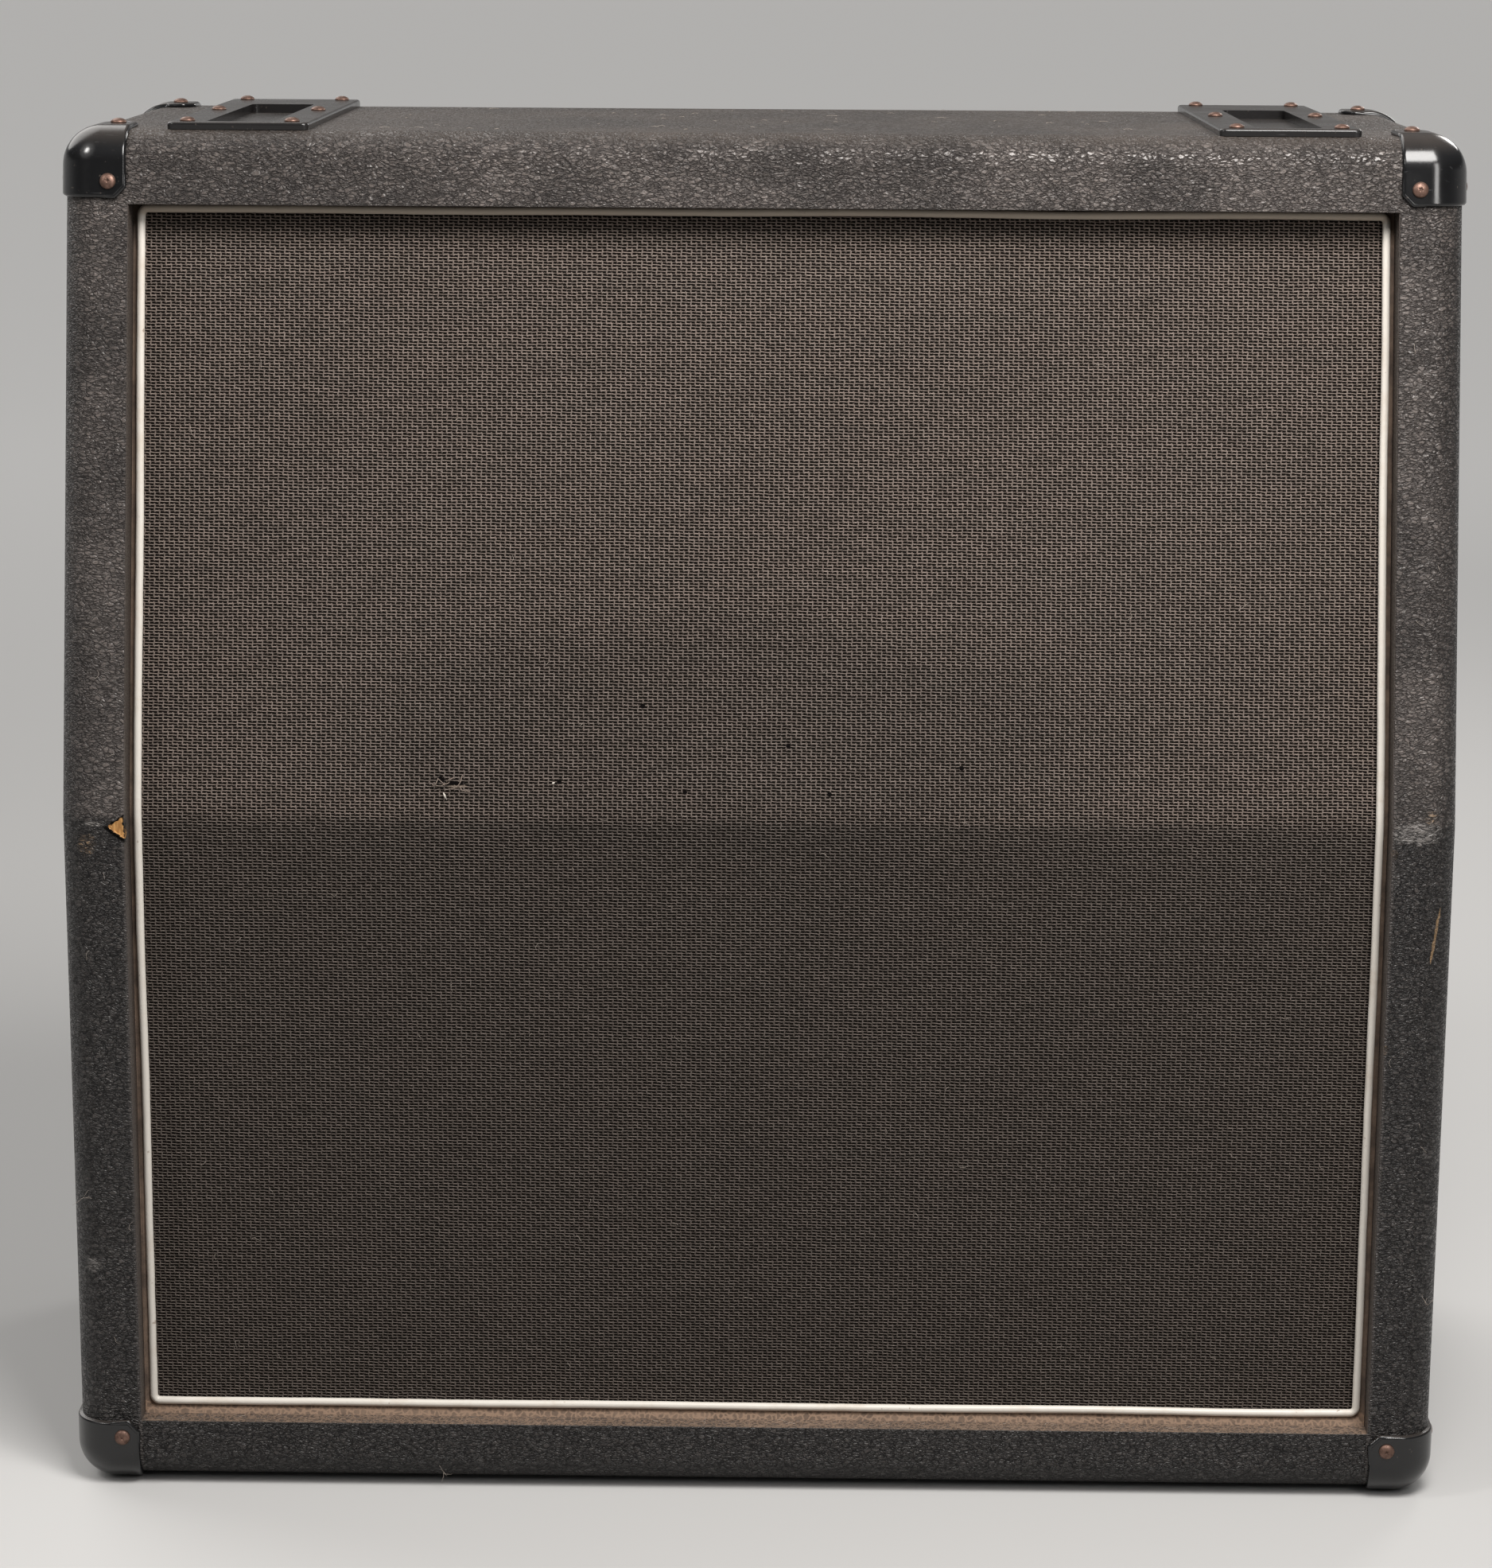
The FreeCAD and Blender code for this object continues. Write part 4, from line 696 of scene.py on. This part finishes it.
def rimPath(name):  # the longest sharp edge of a corner protector, taken to the middle of its wall
    work = welded(name, rims["weld"])
    outward = Vector([1 if side in name else -1 for side in ("right", "rear", "top")])
    links = {}
    for edge in work.edges:
        if len(edge.link_faces) == 2 and edge.calc_face_angle(0) > rims["sharp"]:
            shell = max(edge.link_faces, key=lambda f: f.normal.dot(outward)).normal
            for vert in edge.verts:
                links.setdefault(vert, []).append((edge.other_vert(vert), shell))
    loops, seen = [], set()
    for start in links:
        if start in seen:
            continue
        loop, here = [], start
        while here is not None:
            seen.add(here)
            loop.append(here)
            here = next((v for v, _ in links[here] if v not in seen), None)
        loops.append(loop)
    rim = max(loops, key=lambda r: sum((a.co - b.co).length for a, b in zip(r, r[1:])))
    path = []
    for vert in rim:
        out = sum((n for _, n in links[vert]), Vector()).normalized()
        path.append(tuple(vert.co - out * (rims["thickness"] / 2)))
    work.free()
    return evenSteps(path, rims["step"])


def cornerRims():
    corners = [name for name in sorted(nodes) if name.startswith("corner_") and name != "corner_screws"]
    paths = [rimPath(name) for name in corners]
    mesh = tubes.run(pathCarrier(paths, True), Radius=rims["radius"], Sides=rims["sides"],
                     Finish=finishes["corner_plastic"])
    keep("cornerRims", mesh, "cabinet", "corner_plastic")
    print("corner rims:", [len(p) for p in paths])


cornerRims()

fibres = {
    "seed": 11, "steps": 8, "clothDepth": 0.0164, "faceDepth": -0.0004, "ledge": 0.0401, "top": 0.7570,
    "onCloth": (70, (-0.33, 0.33), (0.06, 0.70)),  # how many, and the limits of x and z
    "onFace": (14, (0.348, 0.374), (0.06, 0.66)),
    "onLedge": (26, (-0.33, 0.33), (-0.178, -0.168)),  # how many, and the limits of x and y
    "onTop": (46, (-0.22, 0.22), (-0.08, 0.16)),
    "lint": {"length": (0.002, 0.007), "curl": 0.35, "lift": 0.0003, "radius": 0.00009,
             "colour": (0.60, 0.52, 0.45)},
    "fray": {"length": (0.003, 0.008), "curl": 0.3, "lift": 0.0012, "count": 4,
             "at": [(0.3765, 0.1171), (-0.3748, 0.1718), (-0.1752, 0.0110)]},
    "torn": {"curl": 0.35, "lift": 0.0016, "radius": 0.00028, "colour": (0.30, 0.24, 0.20),
             "at": [(-0.1790, 0.4052, 0.010, -0.2), (-0.1722, 0.4046, 0.006, 1.4),  # x, z, length, heading
                    (-0.1700, 0.4030, 0.012, 0.1), (-0.1640, 0.4042, 0.007, -0.5),
                    (-0.1765, 0.4040, 0.005, 2.2), (-0.1712, 0.4068, 0.005, 0.9)]},
    "chips": {"radius": 0.0006, "colour": (0.80, 0.74, 0.66),
              "girth": [0.2, 0.7, 1.0, 1.1, 1.0, 0.8, 0.6, 0.4, 0.2],
              "at": [(-0.1728, 0.4012, 0.0045, -1.1, 0.10, 0.0012),  # x, z, length, heading, curl, lift
                     (-0.1130, 0.4064, 0.0016, 0.4, 0.2, 0.0005)]},
    "lip": {"radius": 0.0007, "girth": [0.4, 1.0, 1.2, 1.0, 0.4],
            "at": [(-0.3449, 0.3772), (-0.3478, 0.3792), (-0.3512, 0.3816), (-0.3540, 0.3835),
                   (-0.3556, 0.3850)]},
}


def strand(spot, length, heading, curl, lift, dice):  # a curved hair; spot(a, b, height) gives its points
    points, a, b = [], 0.0, 0.0
    steps = fibres["steps"]
    for i in range(steps + 1):
        points.append(spot(a, b, lift * math.sin(math.pi * i / steps)))
        a += math.cos(heading) * length / steps
        b += math.sin(heading) * length / steps
        heading += dice.normal(0, curl)
    return points


def onFace(x, z, depth):
    run = runOf(depth, z)
    return lambda a, b, height: (x + a, *onFront(depth - height, run + b)[:2])


def onLevel(x, y, z):
    return lambda a, b, height: (x + a, y + b, z + height)


def threads(name, paths, girths, radius, sides, slot, finish):
    mesh = tubes.run(pathCarrier(paths, False, girths), Radius=radius, Sides=sides, Finish=finish)
    keep(name, mesh, "cabinet", slot, finish=finish)


def lintPaths(dice, face):
    count, across, up = fibres["onCloth"]
    spots = [onFace(dice.uniform(*across), dice.uniform(*up), fibres["clothDepth"]) for _ in range(count)]
    count, across, up = fibres["onFace"]
    for _ in range(count):
        side = dice.choice([-1, 1])
        spots.append(onFace(side * dice.uniform(*across), dice.uniform(*up), face))
    for where, level in (("onLedge", fibres["ledge"]), ("onTop", fibres["top"])):
        count, across, back = fibres[where]
        spots += [onLevel(dice.uniform(*across), dice.uniform(*back), level) for _ in range(count)]
    lint, fray = fibres["lint"], fibres["fray"]
    anyWay = (0, 6.28)
    paths = [strand(s, dice.uniform(*lint["length"]), dice.uniform(*anyWay),
                    lint["curl"], lint["lift"], dice) for s in spots]
    for x, z in fray["at"]:
        paths += [strand(onFace(x, z, face), dice.uniform(*fray["length"]), dice.uniform(*anyWay),
                         fray["curl"], fray["lift"], dice) for _ in range(fray["count"])]
    return paths


def looseFibres():
    dice = np.random.default_rng(fibres["seed"])
    deep, face = fibres["clothDepth"], fibres["faceDepth"]
    lint = lintPaths(dice, face)
    thin = [list(np.linspace(1.0, 0.6, fibres["steps"] + 1)) for _ in lint]
    style = fibres["lint"]
    threads("paleLint", lint, thin, style["radius"], 5, "cloth", fibreLook("paleLint", style["colour"]))

    style = fibres["torn"]
    torn = [strand(onFace(x, z, deep), long, heading, style["curl"], style["lift"], dice)
            for x, z, long, heading in style["at"]]
    threads("tornThreads", torn, None, style["radius"], 6, "cloth", fibreLook("tornThread", style["colour"]))

    style = fibres["chips"]
    chips = [strand(onFace(x, z, deep), *shape, dice) for x, z, *shape in style["at"]]
    fat = [style["girth"] for _ in chips]
    threads("paleChips", chips, fat, style["radius"], 6, "cloth", fibreLook("paleChip", style["colour"]))

    style = fibres["lip"]
    lip = [(x, *onFront(face, runOf(face, z))[:2]) for x, z in style["at"]]
    threads("liftedLip", [lip], [style["girth"]], style["radius"], 8, "vinyl", finishes["vinyl"])
    print("fibres:", len(lint) + len(torn) + len(chips))


looseFibres()

screws = {  # head radius and height, shank radius and length, as the screws in the frame
    "corner_screws": (0.00435, 0.0026, 0.0017, 0.018), "dish_screws": (0.0042, 0.0025, 0.0016, 0.015),
    "handle_screws": (0.0038, 0.0022, 0.0016, 0.016), "rear_panel_screws": (0.0044, 0.0026, 0.0020, 0.026),
    "jack_plate_screws": (0.0034, 0.0020, 0.0015, 0.012),
}
head = {"rings": 12, "spokes": 40, "flatten": 0.93, "armLong": 0.26, "armWide": 0.10, "recess": 0.28,
        "firstSeed": 3}


def islands(name):  # the separate solids of a node, as arrays of triangles
    work = welded(name, 1e-6)
    seen, found = set(), []
    for start in work.verts:
        if start in seen:
            continue
        group, todo = [], [start]
        seen.add(start)
        while todo:
            vert = todo.pop()
            group.append(vert)
            for edge in vert.link_edges:
                other = edge.other_vert(vert)
                if other not in seen:
                    seen.add(other)
                    todo.append(other)
        tris = {f for v in group for f in v.link_faces}
        found.append(np.array([[v.co for v in f.verts[:3]] for f in tris], float))
    work.free()
    return found


def screwSeats(name, headHeight):  # (point under the head, the way it faces) for each screw
    seats = []
    for tris in islands(name):
        areas = np.linalg.norm(np.cross(tris[:, 1] - tris[:, 0], tris[:, 2] - tris[:, 0]), axis=1)
        middles = tris.mean(1)
        centre = (middles * areas[:, None]).sum(0) / areas.sum()
        spread = ((middles - centre) * areas[:, None]).T @ (middles - centre)
        axis = np.linalg.eigh(spread)[1][:, -1]
        points = tris.reshape(-1, 3) - centre
        along = points @ axis
        off = np.linalg.norm(points - along[:, None] * axis, axis=1)
        widest = along[off.argmax()]
        if abs(widest - along.max()) > abs(widest - along.min()):
            axis, along = -axis, -along
        seats.append((centre + axis * (along.max() - headHeight), axis))
    seats.sort(key=lambda s: tuple(np.round(s[0], 4)))
    return seats


def headObject():  # a domed head of radius 1 and height 1 with a cross recess
    rings, spokes = head["rings"], head["spokes"]
    turns = [2 * math.pi * s / spokes for s in range(spokes)]
    circle = [(math.cos(a), math.sin(a)) for a in turns]
    points = []
    for r in range(rings + 1):
        radius = r / rings
        dome = math.sqrt(max(0.0, 1 - head["flatten"] * radius ** 2))
        for cx, cy in circle:
            x, y = radius * cx, radius * cy
            arm = min(max(abs(x), abs(y)) / head["armLong"], 1.2)
            width = min(abs(x), abs(y)) / head["armWide"]
            sink = max(0.0, 1 - arm ** 4) * max(0.0, 1 - width ** 3)
            points.append((x, y, dome - head["recess"] * sink))
    points += [(x, y, 0.0) for x, y in circle]
    faces = []
    for r in range(rings + 1):  # the last round is the upright rim
        a, b = r * spokes, (r + 1) * spokes
        faces += [(a + s, b + s, b + (s + 1) % spokes, a + (s + 1) % spokes) for s in range(spokes)]
    faces.append(tuple((rings + 1) * spokes + s for s in reversed(range(spokes))))
    mesh = meshOf("domeHead", points, faces)
    faceOut(mesh, 1e-5)
    return place("domeHead", mesh)


def screwTree():
    t = Tree("screwRow", [("Head", "Object"), ("Head radius", "Float"), ("Head height", "Float"),
                          ("Shank radius", "Float"), ("Shank length", "Float"), ("Seed", "Int"),
                          ("Finish", "Material")])
    s = t.start
    wide = s["Head radius"]
    size = t.node("ShaderNodeCombineXYZ", None, {0: wide, 1: wide, 2: s["Head height"]})
    cap = t.node("GeometryNodeObjectInfo", None, {"Object": s["Head"]}, "Geometry")
    cap = t.node("GeometryNodeTransform", None, {"Geometry": cap, "Scale": size})
    shank = t.node("GeometryNodeMeshCylinder", None,
                   {"Vertices": 12, "Radius": s["Shank radius"], "Depth": s["Shank length"]})
    half = t.node("ShaderNodeMath", {"operation": "MULTIPLY"}, {0: s["Shank length"], 1: -0.5})
    down = t.node("ShaderNodeCombineXYZ", None, {2: half})
    shank = t.node("GeometryNodeTransform", None, {"Geometry": shank, "Translation": down})
    facing = t.node("GeometryNodeInputNamedAttribute", {"data_type": "FLOAT_VECTOR"}, {"Name": "facing"})
    turn = t.node("FunctionNodeAlignRotationToVector", {"axis": "Z"}, {"Vector": facing})
    spin = t.node("FunctionNodeRandomValue", {"data_type": "FLOAT"},
                  {2: 0.0, 3: 2 * math.pi, "Seed": s["Seed"]}, 1)
    spin = t.node("FunctionNodeAxisAngleToRotation", None, {"Axis": (0, 0, 1), "Angle": spin})
    turn = t.node("FunctionNodeRotateRotation", {"rotation_space": "LOCAL"}, {0: turn, 1: spin})
    return t.close(t.node("GeometryNodeInstanceOnPoints", None,
                          {"Points": s["Geometry"], "Instance": t.join(cap, shank), "Rotation": turn}))


def fitScrews():
    tree, cap = screwTree(), headObject()
    for number, (name, (radius, tall, shank, long)) in enumerate(screws.items()):
        seats = screwSeats(name, tall)
        mesh = meshOf(name, [p for p, _ in seats], [])
        facing = mesh.attributes.new("facing", "FLOAT_VECTOR", "POINT")
        for i, (_, axis) in enumerate(seats):
            facing.data[i].vector = axis
        slot = slotOf[name]
        seed = head["firstSeed"] + number
        made = tree.run(place("seats", mesh), Head=cap, Head_radius=radius, Head_height=tall,
                        Shank_radius=shank, Shank_length=long, Seed=seed, Finish=finishes[slot])
        keep("heads_" + name, made, "cabinet", slot, name)
        print(name, len(seats))
    bpy.data.objects.remove(cap)


fitScrews()

knob = {"teeth": 4, "bite": 0.0007, "round": 0.0004, "colour": (0.40, 0.385, 0.36)}


def switchKnob():  # a ridged thumb piece, slid along x
    low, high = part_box("switch_slider")
    wide, valley = (high.x - low.x) / knob["teeth"], high.y - knob["bite"]
    line = [(low.x, low.y), (high.x, low.y), (high.x, valley)]
    for i in range(knob["teeth"]):
        side = high.x - wide * i
        line += [(side - wide * 0.25, high.y), (side - wide * 0.75, high.y), (side - wide, valley)]
    n = len(line)
    points = [(x, y, z) for z in (low.z, high.z) for x, y in line]
    faces = [tuple(reversed(range(n))), tuple(range(n, 2 * n))]
    faces += [(i, (i + 1) % n, n + (i + 1) % n, n + i) for i in range(n)]
    mesh = meshOf("switchKnob", points, faces)
    mesh.shade_flat()
    loose = place("looseKnob", mesh)
    bevel = loose.modifiers.new("round", "BEVEL")
    bevel.width = knob["round"]
    bevel.segments = 2
    keep("switchKnob", baked(loose), "switch_slider", "switch_plastic", "switch_slider",
         finish=plasticLook("paleKnob", knob["colour"], brownDust, 0.40, 0.3, 0.3))
    print("knob:", knob["teeth"], "ridges")


switchKnob()


def dress():  # the frame's own solids, where nothing stands for them
    for name, node in nodes.items():
        if node.hide_render:
            continue
        baffle = name in ("upper_baffle", "lower_baffle")
        node.data.materials.clear()
        node.data.materials.append(blackBoard if baffle else finishes[slotOf[name]])


dress()

lamps = {  # boxes: watts, where it stands and points, width and height; suns: strength, where from, size
    "boxes": {"softBox": (35, (0.42, -0.98, 1.86), (0.0, -0.12, 0.50), (0.85, 0.70)),
              "stripBox": (6, (0.98, -1.42, 1.22), (0.30, -0.12, 0.60), (0.28, 0.75)),
              "cornerBox": (6, (-1.28, -0.81, 1.71), (-0.37, -0.10, 0.73), (0.22, 0.30)),
              "rearBox": (9, (1.20, 1.60, 1.50), (0.0, 0.18, 0.40), (0.50, 0.50))},
    "suns": {"fill": (0.26, (-0.90, -0.70, 0.95), 40), "rear": (1.3, (-0.80, 1.00, 0.95), 50)},
    "colour": (1.0, 0.975, 0.95),
}
sky = {"top": 0.24, "low": 0.04, "light": (0.98, 0.99, 1.0), "backdrop": 0.45,
       "behind": (0.985, 0.97, 0.955)}
ground = {"near": (0.58, 0.575, 0.566), "far": (0.90, 0.893, 0.88), "reach": (0.9, 4.5),
          "bounce": (0.20, 0.197, 0.192), "half": 60}


def lightSky():
    world = bpy.data.worlds.new("softSky")
    world.use_nodes = True
    w = Shade(world.node_tree)
    height = w.split(w.node("TexCoord", outlet="Generated"))[2]
    rise = w.smooth(height, 0.05, 0.85) * (sky["top"] - sky["low"]) + sky["low"]  # brighter overhead
    glossy = w.rays("Is Glossy Ray", "Is Transmission Ray") * (1 - w.smooth(height, 0.06, 0.24))
    seen = w.most(w.rays("Is Camera Ray"), glossy)
    glow = w.tree.nodes["Background"].inputs
    w.put(glow["Strength"], rise * (1 - seen) + seen * sky["backdrop"])
    w.put(glow["Color"], w.blend(seen, sky["light"], sky["behind"]))
    scene.world = world


def hang(light, away, origin):  # a lamp whose back points along away
    light.color = lamps["colour"]
    lamp = place(light.name, light)
    lamp.location = origin
    lamp.rotation_euler = away.to_track_quat("Z", "Y").to_euler()
    return lamp


def hangLamps():
    for name, (watts, origin, aim, (wide, tall)) in lamps["boxes"].items():
        box = bpy.data.lights.new(name, "AREA")
        box.shape = "RECTANGLE"
        box.size = wide
        box.size_y = tall
        box.energy = watts
        hang(box, Vector(origin) - Vector(aim), origin).visible_camera = False
    for name, (strength, origin, size) in lamps["suns"].items():
        sun = bpy.data.lights.new(name, "SUN")
        sun.energy = strength
        sun.angle = math.radians(size)
        hang(sun, Vector(origin), origin)


def layFloor():
    k = Look("paleFloor")  # pale where it is seen, and quieter in what it throws back
    seen = k.rays("Is Camera Ray", "Is Glossy Ray", "Is Transmission Ray")
    reach = k.vectors("LENGTH", k.at, outlet="Value")
    # paler far off, where less light falls
    tone = k.blend(k.smooth(reach, *ground["reach"]), ground["near"], ground["far"])
    shown = k.node("BsdfDiffuse", None, {"Color": tone})
    thrown = k.node("BsdfDiffuse", None, {"Color": ground["bounce"]})
    mixed = k.node("MixShader", None, {0: seen, 1: thrown, 2: shown})
    k.put(k.tree.nodes["Material Output"].inputs["Surface"], mixed)
    half = ground["half"]
    corners = [(-half, -half, 0), (half, -half, 0), (half, half, 0), (-half, half, 0)]
    mesh = meshOf("floor", corners, [(0, 1, 2, 3)])
    mesh.materials.append(k.material)
    place("floor", mesh)


lightSky()
hangLamps()
layFloor()
print("lamps:", len(lamps["boxes"]) + len(lamps["suns"]))

shot = {"at": (0.02501, -2.28373, 0.88173), "yaw": -0.0148, "pitch": 0.2199, "roll": 0.0057, "lens": 90.951}


def placeCamera():
    yaw, pitch, roll = shot["yaw"], shot["pitch"], shot["roll"]
    ahead = Vector((math.sin(yaw) * math.cos(pitch), math.cos(yaw) * math.cos(pitch), -math.sin(pitch)))
    right = Vector((math.cos(yaw), -math.sin(yaw), 0.0))
    top = right.cross(ahead)
    cos, sin = math.cos(roll), math.sin(roll)
    right, top = right * cos + top * sin, top * cos - right * sin
    lens = bpy.data.cameras.new("photoCamera")
    lens.lens = shot["lens"]
    lens.sensor_width = 36.0
    camera = place("photoCamera", lens)
    camera.matrix_world = Matrix((right, top, -ahead)).transposed().to_4x4()
    camera.location = shot["at"]
    scene.camera = camera


placeCamera()
scene.view_settings.view_transform = "Standard"
